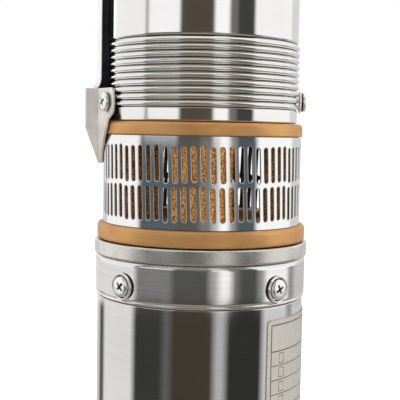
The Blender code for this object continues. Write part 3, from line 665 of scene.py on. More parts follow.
class PumpCollarScrews(bpy.types.Operator):
    """Cross-head screws of the two collars, each in its dished cup"""

    bl_idname = "object.pump_collar_screws"
    bl_label = "Collar screws"

    def execute(self, context):
        head, head_shade = pan_head(4.4, 1.9)
        cup_profile = [
            (4.7, 0.0, 0.05), (5.9, 0.0, 0.05), (5.9, 0.55, 0.25), (5.55, 1.2, 0.3), (5.2, 1.1, 0.25),
            (4.7, 0.35, 0.1),
        ]
        cup = turned(cup_profile, 64, 4, closed=True)
        # The cup gets painted shade on its inner wall, next to the head, and at its seat.
        ring, rise = np.hypot(cup[0][:, 0], cup[0][:, 1]), cup[0][:, 2]
        cup_shade = np.stack([smooth((5.0 - ring) / 0.2) + smooth((0.3 - rise) / 0.2), ring * 0.2], axis=-1)
        offset = math.radians(43)
        azimuths = [FRONT - offset, FRONT + offset, FRONT + math.pi - offset, FRONT + math.pi + offset]
        spins = [math.radians(43), math.radians(28), math.radians(20), math.radians(70)]
        radius = COLLAR_RADIUS + 0.3
        for part, foot in (("top", TOP_COLLAR[0]), ("base", BASE_COLLAR[0])):
            for number, (azimuth, spin) in enumerate(zip(azimuths, spins), 1):
                seat = (radius * math.cos(azimuth), radius * math.sin(azimuth), foot + COLLAR_SCREW_RISE)
                for kind, shape, turn, sunk_shade in (("head", head, spin, head_shade), ("cup", cup, 0.0, cup_shade)):
                    node = "screw" if kind == "head" else "cup"
                    add_piece(
                        f"{part}_screw_{kind}_{number}",
                        placed(shape, seat, azimuth, turn),
                        "screw_polish",
                        f"{part}_collar_{node}_{number}",
                        uv=sunk_shade,
                    )
        return {"FINISHED"}


def cast_wave(points, depth):
    """A slow unevenness: a sum of sines along slanted directions, between plus and minus the depth."""
    x, y, z = points[..., 0], points[..., 1], points[..., 2]
    waves = (
        np.sin(0.55 * x + 0.41 * z + 0.3)
        + np.sin(0.48 * y - 0.62 * z + 1.7)
        + 0.7 * np.sin(1.31 * x - 0.9 * y + 1.13 * z)
        + 0.5 * np.sin(2.3 * z + 1.9 * x + 2.1 * y)
    )
    return depth * waves / 3.2


def column(corners, depth, flare=1.6):
    """A cast column: a rounded level section carried up between the rings.

    Near its foot and top the section is pushed outwards by flare times exp(-distance / 1.6 mm), as the fillet
    of a casting, and everywhere by the slow waves.
    """
    corners = np.array(corners, float)
    line = soft_line(corners[:, :2], corners[:, 2], 5, closed=True)
    gap = np.roll(line, -1, axis=0) - np.roll(line, 1, axis=0)
    outward = np.stack([gap[:, 1], -gap[:, 0]], axis=-1)
    outward /= np.linalg.norm(outward, axis=1, keepdims=True)
    foot, top = SHELVES
    low, high = foot - 0.9, top + 0.8
    fillet = np.array([0, 0.7, 1.4, 2.1, 3.0, 4.2])
    heights = np.concatenate([low + fillet, np.linspace(low + 6, high - 6, 12), high - fillet[::-1]])
    near = np.minimum(heights - foot, top - heights)
    push = flare * np.exp(-np.clip(near, 0.0, None) / 1.6)
    rows = line[None] + outward[None] * push[:, None, None]
    wave = cast_wave(risen(rows, heights), depth)
    rows = rows + outward[None] * wave[..., None]
    rows = rows * np.minimum(1.0, (INLET_RADIUS + 0.15) / np.linalg.norm(rows, axis=-1, keepdims=True))
    return lofted(rows, heights)


class PumpInlet(bpy.types.Operator):
    """Brass inlet: two turned rings, and the cast columns between them"""

    bl_idname = "object.pump_inlet"
    bl_label = "Brass inlet"

    def execute(self, context):
        low = INLET
        foot, top = SHELVES
        lower = [
            (26, low, 0.4), (48.3, low, 1.3), (48.3, low + 5.7, 1.0), (47.9, low + 6.9, 0.7),
            (46.8, low + 7.3, 0.6), (INLET_RADIUS, low + 7.3, 0.3), (INLET_RADIUS, foot, 0.5),
            (COLUMN_BACK, foot, 0.5), (COLUMN_BACK, low + 7.3, 0.5), (26, low + 7.3, 0.4),
        ]
        upper = [
            (16, low + 43.5, 0.4), (COLUMN_BACK, low + 43.5, 0.1), (COLUMN_BACK, top, 0.1),
            (INLET_RADIUS, top, 0.5), (INLET_RADIUS, low + 47.5, 0.3), (46.3, low + 47.5, 0.8),
            (46.3, low + 52.1, 0.8), (45.2, low + 53.2, 0.5), (16, low + 53.2, 0.4),
        ]
        rings = joined([turned(lower, closed=True), turned(upper, closed=True)])
        add_piece("inlet_rings", rings, "turned_brass", "inlet_housing")

        def front(y):
            """How far out the columns' outer face is at this distance from the middle of a column."""
            return math.sqrt(INLET_RADIUS**2 - y**2)

        depth = context.scene.pump_sizes.cast_depth / MM
        wide, groove = 13.3, LEAD_GROOVE
        outer = [(a, front(a), 1.2) for a in (-wide, -6.6, 0.0, 6.6, wide)]
        inner = [(a, math.sqrt(COLUMN_BACK**2 - a**2), 1.0) for a in (wide, 0.0, -wide)]
        plain = np.array(outer + inner)[::-1]
        columns = []
        for turn in (0.0, math.pi, -math.pi / 2):
            c, s = math.cos(turn), math.sin(turn)
            x = plain[:, 0] * c - plain[:, 1] * s
            y = plain[:, 0] * s + plain[:, 1] * c
            columns.append(column(np.stack([x, y, plain[:, 2]], axis=-1), depth))
        # The column behind the guard has a groove for the lead. Its other half is this one mirrored.
        half = [
            (-18.3, -9.5, 1.0), (-29.2, -9.5, 1.0), (-28.6, -wide, 1.0), (-front(wide), -wide, 1.2),
            (-front(groove), -groove, 0.8), (-38.4, -groove, 1.0),
        ]
        grooved = half + [(x, -y, trim) for x, y, trim in reversed(half)]
        columns.append(column(grooved[::-1], depth, flare=0.6))
        add_piece("inlet_columns", joined(columns), "cast_brass", "inlet_housing")
        looks_of = {"motor_shaft": "dark_steel", "pump_shaft": "dark_steel", "coupling": "satin"}
        for node, look in looks_of.items():
            dress(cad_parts[node], look)
        return {"FINISHED"}


def strainer_cells(count, pitch, slot_half, skew, grows, notched):
    """The strainer's cells laid flat, the way into each slot from its outline, and which cells are blank.

    A cell is one slot place, with rings of twelve (way round, height) points: its frame, an outline of its
    slot for each of grows, and its frame again. An outline is two half circles, one for each end of the slot,
    whose radius is half the slot's width plus grow, and it leans by the skew. A blank cell has its middle
    instead.
    """
    cell = np.arange(count + 1)
    left = cell * pitch
    middle = left + pitch / 2
    lapped = (cell == 0) | (cell == count)
    step = (cell % 5 - 2) * pitch * math.tan(skew)
    angle = np.concatenate([np.linspace(math.pi, TAU, 6), np.linspace(0.0, math.pi, 6)])
    rounds = np.stack([np.cos(angle), np.sin(angle)], axis=-1)
    upper_end = np.arange(12) > 5
    across = np.array([0, 0, 0.33, 0.67, 1, 1, 1, 1, 0.67, 0.33, 0, 0])
    c, s = math.cos(skew), math.sin(skew)
    lean = np.array([[c, s], [-s, c]])
    notch = 37.0
    # A row of cells: its foot, its sides' ends, its top, the slots' foot and top, and the blank cells.
    rows = (
        (7.6, 12.6, 24.4, 26.65, (11.0, 25.7), lapped),
        (26.65, 29.2, notch, 47.2, (27.6, 42.9), lapped | notched),
    )
    cells = []
    for foot, low_mid, high_mid, top, (low, high), blank in rows:
        levels = np.array([low_mid] + [foot] * 4 + [low_mid, high_mid] + [top] * 4 + [high_mid])
        frame_z = np.broadcast_to(levels, (count + 1, 12)).copy()
        if high_mid == notch:
            frame_z[notched] = np.minimum(frame_z[notched], notch)
        edge = np.stack([left[:, None] + across * pitch, frame_z], axis=-1)
        centre = np.stack([middle, np.full(count + 1, (low + high) / 2) + step], axis=-1)[:, None]
        ends = np.where(upper_end, (high - low) / 2 - slot_half, slot_half - (high - low) / 2)
        hub = np.stack([np.zeros(12), ends], axis=-1)
        still = edge.mean(axis=1, keepdims=True)
        outlines = [centre + (hub + rounds * (slot_half + grow)) @ lean for grow in grows]
        outlines = [np.where(blank[:, None, None], still, outline) for outline in outlines]
        cells.append(np.stack([edge, *outlines, edge], axis=1))
    inward = np.broadcast_to(-(rounds @ lean), (2 * (count + 1), 12, 2))
    return np.concatenate(cells), inward, np.concatenate([lapped, lapped | notched])


def free_sides(loops):
    """Which sides of closed loops of points no other loop has, where points that coincide are the same."""
    keys = np.round(loops / 0.0005).astype(np.int64).reshape(-1, 3)
    _, place = np.unique(keys, axis=0, return_inverse=True)
    place = place.reshape(loops.shape[:2])
    side = np.stack([place, np.roll(place, -1, axis=1)], axis=-1).reshape(-1, 2)
    _, which, uses = np.unique(np.sort(side, axis=1), axis=0, return_inverse=True, return_counts=True)
    return ((uses[which.reshape(-1)] == 1) & (side[:, 0] != side[:, 1])).reshape(loops.shape[:2])


class PumpStrainer(bpy.types.Operator):
    """Slotted strainer sheet with rounded slot rims, lapped at its ends"""

    bl_idname = "object.pump_strainer"
    bl_label = "Strainer"

    def execute(self, context):
        sizes = context.scene.pump_sizes
        count = sizes.slot_count
        rim = sizes.slot_rim / MM
        radius, sheet = WING_END_RADIUS, 0.8
        pitch = TAU * radius / count
        lap = math.radians(16.4)
        # The notch for the lead takes the upper slots next to the azimuth of 180 degrees.
        azimuth = np.degrees((np.arange(count + 1) * pitch + pitch / 2) / radius + lap)
        notched = np.abs(azimuth - 180) < math.degrees(1.05 * LEAD_GROOVE / radius)
        # The rings of a cell between its frames: how far out of the slot, how deep, and the normal's tilt.
        rings = np.array([(rim, 0.0, 0.0), (rim * 0.28, 0.1, 48.0), (0.0, 0.36, 90.0), (0.12, sheet, 150.0)])
        half = sizes.slot_width / MM / 2
        flat, inward, blank = strainer_cells(count, pitch, half, sizes.slot_skew, rings[:, 0], notched)
        depth = np.array([0.0, *rings[:, 1], sheet])
        tilt = np.radians([0.0, *rings[:, 2], 180.0])
        behind = depth == sheet
        depths = np.where(blank[:, None], behind * sheet, depth)[..., None]
        tilts = np.where(blank[:, None], behind * math.pi, tilt)[..., None, None]
        # The way round over the radius is the azimuth, and a ring's depth comes off the radius, so the cells
        # wrap into a cylinder. Its last two cells rise over the first as a lap.
        over = (flat[..., 0] - TAU * radius + 2 * pitch) / (2 * pitch)
        r = radius - depths + (sheet + 0.3) * np.clip(over, 0.0, 1.0)
        theta = flat[..., 0] / radius + lap
        points = np.stack([r * np.cos(theta), r * np.sin(theta), INLET + flat[..., 1]], axis=-1)
        # A normal is outwards times the cosine of its tilt plus the way into the slot times the sine.
        outward = np.stack([np.cos(theta), np.sin(theta), np.zeros_like(theta)], axis=-1)
        along = np.stack([-np.sin(theta), np.cos(theta), np.zeros_like(theta)], axis=-1)
        into = along * inward[:, None, :, :1] + np.array([0.0, 0.0, 1.0]) * inward[:, None, :, 1:]
        normals = outward * np.cos(tilts) + into * np.sin(tilts)
        number = np.arange(theta.size).reshape(theta.shape)
        after = np.roll(number, -1, axis=2)
        quads = np.stack([number[:, :-1], after[:, :-1], after[:, 1:], number[:, 1:]], axis=-1).reshape(-1, 4)
        # A free side of the outer face is an edge of the sheet, and gets a wall.
        walls = np.stack([after[:, 0], number[:, 0], number[:, -1], after[:, -1]], axis=-1)
        quads = np.concatenate([quads, walls[free_sides(points[:, 0])]])
        shape = (points.reshape(-1, 3), quads)
        normals = normals.reshape(-1, 3)
        add_piece("strainer_sheet", shape, "strainer_polish", "strainer", normals=normals, sharp=75.0)
        return {"FINISHED"}


def rib_line(sizes):
    """(radius, height) down one ribbed zone, from its foot up.

    Over one pitch, with f from 0 to 1, the radius is the valley plus the height of the rib times
    sin(pi f^0.72)^0.9, which puts the rounded peak nearer to the rib's foot and leaves a narrow valley.
    """
    samples = 14
    t = np.arange(sizes.rib_count * samples + 1) / samples
    share = t - np.floor(t)
    swing = np.sin(math.pi * share**0.72) ** 0.9
    rise = (sizes.rib_peak - sizes.rib_valley) / MM
    return np.stack([sizes.rib_valley / MM + rise * swing, t * sizes.rib_pitch / MM], axis=-1)


class PumpTube(bpy.types.Operator):
    """Pump tube with its rolled ribs near each end"""

    bl_idname = "object.pump_tube"
    bl_label = "Pump tube"

    def execute(self, context):
        sizes = context.scene.pump_sizes
        low, high = TUBE
        ribs = rib_line(sizes)
        lower = ribs + [0.0, low + RIB_START]
        upper = ribs + [0.0, high - RIB_START - ribs[-1, 1]]
        # On either side of the ribs the wall comes out to its full radius along a parabola.
        ease = np.linspace(0.0, 1.0, 9)[1:]
        flare = np.stack([TUBE_RADIUS - 0.65 * (1 - ease) ** 2, 1.3 * ease], axis=-1)
        dip = TUBE_RADIUS - 0.65 * np.linspace(0.0, 1.0, 5)[:-1] ** 2
        run = 0.7 * np.linspace(0, 1, 5)
        wall = TUBE_RADIUS
        rows = [
            [[0.0, low], [wall - 0.6, low], [wall - 0.15, low + 0.15], [wall, low + 0.6]],
            [[wall, low + 0.7], [wall, low + RIB_START - 0.8]],
            np.stack([dip, low + RIB_START - 0.7 + run[:-1]], axis=-1),
            lower,
            flare + [0.0, lower[-1, 1]],
            [[wall, lower[-1, 1] + 6.0], [wall, upper[0, 1] - 6.0]],
            (flare * [1, -1])[::-1] + [0.0, upper[0, 1]],
            upper,
            np.stack([dip[::-1], high - RIB_START + run[1:]], axis=-1),
            [[wall, high - RIB_START + 0.8], [wall, high - 0.7]],
            [[wall, high - 0.6], [wall - 0.15, high - 0.15], [wall - 0.6, high], [0.0, high]],
        ]
        line = np.concatenate([np.asarray(row, float) for row in rows])
        shape = (revolved(line, 224), grid_quads(len(line), 224, False, True))
        add_piece("tube_shell", shape, "tube_polish", "pump_tube", sharp=60.0)
        return {"FINISHED"}


def stadium(half_width, half_thickness, count=14):
    """A level section with half-round ends, with its width along Y: a half circle and its mirror."""
    angle = np.linspace(-math.pi / 2, math.pi / 2, count) + math.pi / 2
    x = half_thickness * np.cos(angle)
    end = np.stack([x, half_thickness * np.sin(angle) + half_width - half_thickness], -1)
    return np.concatenate([end, -end])


class PumpLead(bpy.types.Operator):
    """Flat motor lead and its gland"""

    bl_idname = "object.pump_lead"
    bl_label = "Motor lead"

    def execute(self, context):
        low, high = TUBE
        ribs = RIB_START + RIBS_TALL
        # Each bend of the lead is an S curve in height from one distance from the axis to another.
        bends = (
            (INLET + 33.0, INLET + 58.0, LEAD_RADIUS, 47.1),
            (low + ribs, low + ribs + 14.0, 47.1, 46.4),
            (high - ribs - 14.0, high - ribs, 46.4, 47.1),
        )
        heights = [np.array([INLET + 15.3])]
        heights += [np.linspace(a, b, 15) for a, b, _, _ in bends]
        heights = np.concatenate([*heights, [GUARD[1] - 2.0]])
        centre = np.full(len(heights), LEAD_RADIUS)
        for a, b, before, after in bends:
            centre = centre + smooth((heights - a) / (b - a)) * (after - before)
        # The section is two halves side by side. Their inner faces follow the tube where they lie on it.
        across = np.array([7.0, 7.0, 5.2, 0.9, 0.0, -0.9, -5.2, -7.0, -7.0, -5.2, 0.0, 5.2])
        outer = np.array([0.0, 1.3, 2.5, 2.5, 2.05, 2.5, 2.5, 1.3, 0.0, 0.0, 0.0, 0.0])
        faces_in = np.arange(12) > 8
        tube_z = [356, 358, 389, 392, 530, 534]
        inner_radius = np.interp(heights, tube_z, [43.65, 43.3, 43.3, 43.65, 43.65, 43.3])
        wrapped = np.sqrt(inner_radius[:, None] ** 2 - across**2)
        centre = centre[:, None]
        on_tube = smooth((heights - 346.0) / 14.0)[:, None]
        inner = (centre - LEAD_HALF_THICKNESS + 0.0 * across) * (1 - on_tube) + wrapped * on_tube
        rim = np.where(outer > 0, centre + outer, np.minimum(inner, centre - 0.6))
        x = np.where(faces_in, inner, rim)
        corners = np.stack([-x, np.broadcast_to(across, x.shape)], axis=-1)
        rows = soft_line(corners, np.full(12, 0.7), 4, closed=True)
        add_piece("lead_flat", lofted(rows, heights), "rubber", "motor_lead")
        z = INLET + np.array([8.2, 8.6, 14.0, 14.7, 15.0])
        grow = np.array([-0.1, 0.1, 0.1, -0.2, -0.5])
        gland = np.stack([stadium(7.1 + g, LEAD_HALF_THICKNESS + g) for g in grow])
        gland[..., 0] -= LEAD_RADIUS
        add_piece("lead_boot", lofted(gland, z), "rubber", "lead_gland")
        return {"FINISHED"}


def resampled(points, weights):
    """A grid of points with each row cut anew, along the straights between its points.

    The weights give how many steps each old step becomes.
    """
    cuts = np.concatenate([np.linspace(i, i + 1, n, endpoint=False) for i, n in enumerate(weights)])
    cuts = np.concatenate([cuts, [len(weights)]])
    low = np.minimum(cuts.astype(int), len(weights) - 1)
    share = (cuts - low)[None, :, None]
    return points[:, low] * (1 - share) + points[:, low + 1] * share


def hat_sections(heights, web, web_half, fold, end_half, end_radius, trim):
    """Sections across a bracket with rounded folds, as points in space.

    A section runs from one wing's end in to its fold, up the side to the web, over it, and down to the other
    end. The web and fold are distances from the axis, the web's half width is the fold's too, and a wing ends
    at end_half from the middle on the circle of the end radius: at the root of that radius squared less
    end_half squared from the axis.
    """
    sizes = np.broadcast_arrays(web, web_half, fold, end_half, end_radius, heights)
    web, web_half, fold, end_half, end_radius, _ = sizes
    reach = np.sqrt(end_radius**2 - end_half**2)
    xs = np.stack([-reach, -fold, -web, -web, -fold, -reach], axis=-1)
    ys = np.stack([end_half, web_half, web_half, -web_half, -web_half, -end_half], axis=-1)
    trims = np.array([0.0, trim, trim, trim, trim, 0.0])
    return risen(soft_line(np.stack([xs, ys], axis=-1), trims, 5), heights)


def wing_seat():
    """The middle of a front wing's screw seat in plan, the way that the wing faces, and its azimuth."""
    fold = np.array([-WING_FOLD[0], -WING_FOLD[1]])
    end = np.array([-math.sqrt(WING_END_RADIUS**2 - WING_HALF_WIDTH**2), -WING_HALF_WIDTH])
    along = (end - fold) / np.linalg.norm(end - fold)
    outward = np.array([along[1], -along[0]])
    return fold + along * WING_SCREW, outward, math.atan2(outward[1], outward[0])


class PumpGuard(bpy.types.Operator):
    """Folded lead guard, the scoop at its foot and the clip at its top"""

    bl_idname = "object.pump_guard"
    bl_label = "Lead guard"

    def execute(self, context):
        low, high = GUARD
        # At its foot the channel's sides are cut back along a quarter of an ellipse of this height and depth.
        tall, deep = 6.0, 3.6
        rise = tall * (1 - np.cos(np.linspace(0, math.pi / 2, 13)))
        heights = np.concatenate([low + rise, [low + 9.0, low + 13.0], np.linspace(low + 20.0, high, 10)])
        away = np.clip(1 - (heights - low) / tall, 0.0, None)
        trim = deep * (1 - np.sqrt(1 - away**2))
        edge = 46.5 + trim
        half = 9.6 - trim * 1.5 / 5.9
        web, web_half = np.full_like(heights, 52.4), np.full_like(heights, 8.1)
        xs = np.stack([-edge, -web, -web, -edge], axis=-1)
        ys = np.stack([half, web_half, -web_half, -half], axis=-1)
        channel = risen(soft_line(np.stack([xs, ys], axis=-1), np.array([0.0, 1.5, 1.5, 0.0]), 6), heights)
        sheet_piece("guard_channel", channel, 1.0, "guard_polish", "cable_guard", 0.25)

        # The scoop widens and stands further out on its way up, until its wings have the clip's shape.
        rises = [33.9, 38, 43, 47, 50.7, 54.3, 57.5, 61, 66, 67.2, 68]
        halves = [4.8, 8.4, 14.2, 19.0, 21.8, 22.6, WING_HALF_WIDTH, WING_HALF_WIDTH, 22.3, 21.8, 21.0]
        radii = [47.3, 47.3, 47.3, 48.0, 48.3, 48.0, 46.0] + [WING_END_RADIUS] * 4
        dense = np.concatenate([np.linspace(33.9, 64.0, 46), np.linspace(64.5, 68.0, 8)])
        slope = np.clip((dense - 33.9) / 16.8, 0.0, 1.0)
        scoop = hat_sections(
            INLET + dense,
            48.3 + 5.3 * slope,
            3.6 + 7.4 * slope,
            47.3 - 0.4 * slope,
            np.interp(dense, rises, halves),
            np.interp(dense, rises, radii),
            0.9,
        )
        scoop = resampled(scoop, [14] + [1] * (scoop.shape[1] - 3) + [14])
        sheet_piece("guard_foot", scoop, 1.1, "satin", "guard_scoop", 0.3)

        foot, top = CLIP
        fold, web_half = WING_FOLD
        corner = 2.5
        arc = corner * (1 - np.cos(np.linspace(0, math.pi / 2, 6)))
        heights = np.concatenate([foot + arc, [foot + 7.0, foot + 13.0], (top - arc)[::-1]])
        away = np.clip(corner - np.minimum(heights - foot, top - heights), 0.0, corner)
        half = WING_HALF_WIDTH - corner + np.sqrt(corner**2 - away**2)
        clip = hat_sections(heights, 53.6, web_half, fold, half, WING_END_RADIUS, 1.2)
        sheet_piece("guard_strap", clip, 1.1, "satin", "guard_clip", 0.3)
        return {"FINISHED"}


class PumpTubeScrews(bpy.types.Operator):
    """Screws that hold the brackets to the pump tube, and the two with washers on its other side"""

    bl_idname = "object.pump_tube_screws"
    bl_label = "Tube screws"

    def execute(self, context):
        head, sunk_shade = pan_head(4.25, 2.2)
        seat, outward, facing = wing_seat()
        spot = seat + outward * 0.3
        clip_middle = (CLIP[0] + CLIP[1]) / 2
        for part, height, node in (("foot", SCOOP_SCREW, "scoop"), ("strap", clip_middle, "clip")):
            for name, side, spin in (("front", 1.0, 0.5), ("back", -1.0, 1.1)):
                screw = placed(head, (spot[0], side * spot[1], height), side * facing, spin)
                add_piece(f"{part}_screw_{name}", screw, "screw_polish", f"{node}_screw_{name}", uv=sunk_shade)
        washer = turned([(0, 0, 0), (4.9, 0, 0.15), (4.9, 0.8, 0.3), (0, 0.8, 0)], 64, 4)
        for name, height in (("lower", SIDE_SCREW), ("upper", clip_middle)):
            seat = (INLET_RADIUS, 0.0, height)
            add_piece(f"side_washer_{name}", placed(washer, seat, 0.0), "satin", f"{name}_tube_washer")
            screw = placed(head, (45.7, 0.0, height), 0.0, 0.3)
            add_piece(f"side_screw_{name}", screw, "screw_polish", f"{name}_tube_screw", uv=sunk_shade)
        return {"FINISHED"}


def rope_ear(side):
    """One ear as a ring round its eye.

    At each angle round the eye, a rounded section runs from the eye's wall out to the ear's outline. That is
    a circle on the outer and upper side, and a box towards the boss and the shoulder.
    """
    eye_y, eye_z = 32.5, HEAD_FOOT + 29.5
    eye, rim, to_boss, to_shoulder, thick = 5.5, 8.5, 11.0, 17.0, 4.5
    angle = TAU * np.arange(64) / 64
    c, s = np.cos(angle), np.sin(angle)
    sides = ((rim, c), (rim, s), (to_boss, -c), (to_shoulder, -s))
    box = np.minimum.reduce([size / np.maximum(way, 1e-6) for size, way in sides])
    reach = np.where((c > 0) & (s > 0), rim, box)
    inner = np.full_like(reach, eye)
    rho = np.stack([inner, inner, reach, reach], axis=-1)
    x = np.broadcast_to([-thick, thick, thick, -thick], rho.shape)
    section = soft_line(np.stack([rho, x], axis=-1), np.full(4, 1.1), 5, closed=True)
    y = eye_y + section[..., 0] * c[:, None]
    z = eye_z + section[..., 0] * s[:, None]
    points = np.stack([section[..., 1], side * y, z], axis=-1)
    quads = grid_quads(64, section.shape[1], True, True)
    return points.reshape(-1, 3), quads if side > 0 else quads[:, ::-1]


class PumpHead(bpy.types.Operator):
    """Brass outlet head with its boss, spanner flats, rope ears and valve"""

    bl_idname = "object.pump_head"
    bl_label = "Outlet head"

    def execute(self, context):
        foot = HEAD_FOOT
        profile = [
            (0, 0, 0), (46.3, 0, 0.9), (46.3, 4.6, 0.8), (45.2, 5.7, 0.5), (42.0, 5.7, 0.3),
            (42.0, 11.0, 2.0), (38.5, 16.0, 2.2), (31.0, 21.0, 3.0), (27.5, 26.0, 2.5), (27.5, 30.0, 0.6),
            (27.5, 46.0, 0.6), (27.5, 52.0, 1.0), (19.5, 52.0, 0.8), (19.5, 26.0, 0.3), (15.6, 26.0, 0.3),
            (15.6, 22.0, 0.3), (0, 22.0, 0),
        ]
        profile = [(r, foot + h, trim) for r, h, trim in profile]
        points, quads = turned(profile, 144)
        z = points[:, 2] - foot
        # Two flats for a spanner are cut into the outside of the boss.
        flat = (z > 30.2) & (z < 45.8) & (np.hypot(points[:, 0], points[:, 1]) > 25.0)
        points[flat, 0] = np.clip(points[flat, 0], -25.6, 25.6)
        add_piece("head_body", (points, quads), "turned_brass", "discharge_head")
        add_piece("head_ears", joined([rope_ear(1.0), rope_ear(-1.0)]), "turned_brass", "discharge_head")
        valve = [(0, 0, 0), (15, 0, 0.3), (15, 3, 0.6), (12.5, 5.5, 0.8), (4, 7, 0.4), (4, 12, 0.5)]
        valve = [(r, foot + 22.3 + h, trim) for r, h, trim in [*valve, (0, 12, 0)]]
        add_piece("head_valve", turned(valve, 72), "satin", "outlet_valve")
        return {"FINISHED"}


class PumpPlate(bpy.types.Operator):
    """Blank rating plate on the motor tube"""

    bl_idname = "object.pump_plate"
    bl_label = "Rating plate"

    def execute(self, context):
        # The film lies on the tube, so its wall reaches to just over the steel. A place on it is a way round
        # from the left, over the radius, and a way down. Each row is drawn in by the rounding of the corners.
        radius, sheet = 48.55, 0.53
        top, tall = PLATE_TOP, PLATE_TALL
        first, last = math.radians(-52), math.radians(28)
        width = (last - first) * radius
        corner = 2.0
        rise = np.linspace(0.0, math.pi / 2, 7)
        near = corner * (1 - np.cos(rise))
        down = np.concatenate([near, np.linspace(corner + 4, tall - corner - 4, 20), (tall - near)[::-1]])
        inset = np.clip(corner - np.minimum(down, tall - down), 0.0, corner)
        inset = corner - np.sqrt(corner**2 - inset**2)
        along = inset[:, None] + (width - 2 * inset[:, None]) * np.linspace(0.0, 1.0, 49)
        angle = first + along / radius
        z = np.broadcast_to((top - down)[:, None], angle.shape)
        way = np.stack([np.cos(angle), np.sin(angle)], axis=-1)
        skins = [np.concatenate([r * way, z[..., None]], axis=-1) for r in (radius, radius - sheet)]
        rows, columns = angle.shape
        count = rows * columns
        outer = grid_quads(rows, columns)[:, ::-1]
        number = np.arange(count).reshape(rows, columns)
        loop = np.concatenate([number[0, :-1], number[:-1, -1], number[-1, :0:-1], number[:0:-1, 0]])
        after = np.roll(loop, -1)
        walls = np.stack([loop, after, after + count, loop + count], axis=-1)
        quads = np.concatenate([outer, outer[:, ::-1] + count, walls])
        flat = np.stack([along, np.broadcast_to(down[:, None], along.shape)], axis=-1).reshape(-1, 2)
        shape = (np.concatenate(skins).reshape(-1, 3), quads)
        add_piece("plate_blank", shape, "plate_film", "rating_plate", uv=np.concatenate([flat, flat]))
        return {"FINISHED"}


# Stage.


def studio_world():
    """The room that the polished steel mirrors, as panels round the pump; the camera itself sees white.

    Each wall is a few plain panels: 0 degrees is towards the camera and the azimuth grows to its right.
    The high wall shows in the pump tube, the level one in the strainer, the two low ones in collar and motor.
    """
    world = bpy.data.worlds.new("studio")
    bpy.context.scene.world = world
    world.use_nodes = True
    tree = world.node_tree
    way = Field(tree, tree.nodes.new("ShaderNodeTexCoord").outputs["Generated"])
    x, y, z = way.parts()
    turn = x.math("ARCTAN2", x, 0.0 - y) * (1 / TAU) + 0.5

    def wall(soft, *panels):
        """Panels side by side, each from its azimuth to the next one's, with edges soft on either side.

        A panel's tone is a colour, or a number for a grey.
        """
        tones = [tone if isinstance(tone, tuple) else (tone,) * 3 for _, tone in panels]
        stops = [(0.0, tones[0])]
        for (edge, _), before, after in zip(panels[1:], tones, tones[1:]):
            stops += [((edge - soft) / 360 + 0.5, before), ((edge + soft) / 360 + 0.5, after)]
        return turn.node("ShaderNodeValToRGB", {"stops": stops}, {"Fac": turn})

    warm, blue = (0.08, 0.065, 0.05), (0.08, 0.11, 0.13)
    low_warm, high_warm = (0.055, 0.045, 0.035), (0.26, 0.23, 0.19)
    high = wall(
        2, (-180, 0.9), (-73, 0.3), (-69, 0.95), (-28, warm), (12, 1.0), (30, 0.15), (40, 0.05), (62, 0.95),
        (130, 0.7),
    )
    level = wall(
        3, (-180, 0.65), (-140, 0.95), (-75, blue), (-28, 0.1), (-2, 0.2), (12, 0.5), (20, 1.0), (32, 0.3),
        (40, blue), (65, 1.0), (125, 0.65),
    )
    collar = wall(
        4, (-180, 0.75), (-73, 0.2), (-30, 0.08), (10, 0.4), (20, 1.0), (34, 0.2), (42, 0.07), (65, 0.3),
        (74, 0.95), (110, 0.3), (123, 0.55),
    )
    below = wall(
        4, (-180, 0.6), (-147, 0.1), (-132, 0.75), (-77, 0.04), (-40, 0.12), (-31, low_warm), (16, 0.45),
        (29, 0.03), (73, 0.6), (112, 0.3), (123, 0.6),
    )
    ceiling = wall(
        4, (-180, 0.85), (-77, 0.15), (-64, 0.4), (-28, high_warm), (12, 0.55), (31, 0.2), (63, 0.9)
    )

    def rising(low, top):
        """0 below the first elevation and 1 above the second: an S curve of the sine between them."""
        return z.step(math.sin(math.radians(low)), math.sin(math.radians(top)))

    room = rising(-10.9, -10.5).blend(below, collar)
    room = rising(-8.2, -6.6).blend(room, level)
    room = rising(-0.3, 0.1).blend(room, high)
    room = rising(8.0, 20.0).blend(room, ceiling)
    room = rising(55.0, 75.0).blend(room, (0.95, 0.95, 0.95, 1.0))
    room = rising(-28.0, -19.0).blend((0.27, 0.24, 0.2, 1.0), room)
    seen = Field(tree, tree.nodes.new("ShaderNodeLightPath").outputs["Is Camera Ray"])
    shown = seen.blend(room, (1.0, 1.0, 1.0, 1.0))
    background = tree.nodes["Background"]
    tree.links.new(shown.socket, background.inputs["Color"])
    background.inputs["Strength"].default_value = 1.0


def area_light(name, place, size, power):
    """A square soft light that faces the middle of the pump, and shows neither in it nor to the camera."""
    data = bpy.data.lights.new(name, "AREA")
    data.shape = "SQUARE"
    data.size = size
    data.energy = power
    lamp = bpy.data.objects.new(name, data)
    lamp.visible_glossy = False
    lamp.visible_camera = False
    bpy.context.scene.collection.objects.link(lamp)
    place = np.array(place, float)
    away = place - np.array([0.0, 0.0, 0.33])
    away /= np.linalg.norm(away)
    side = np.cross([0.0, 0.0, 1.0], away)
    side /= np.linalg.norm(side)
    turn = Matrix([list(row) for row in np.stack([side, np.cross(away, side), away]).T]).to_4x4()
    lamp.matrix_world = Matrix.Translation(place.tolist()) @ turn


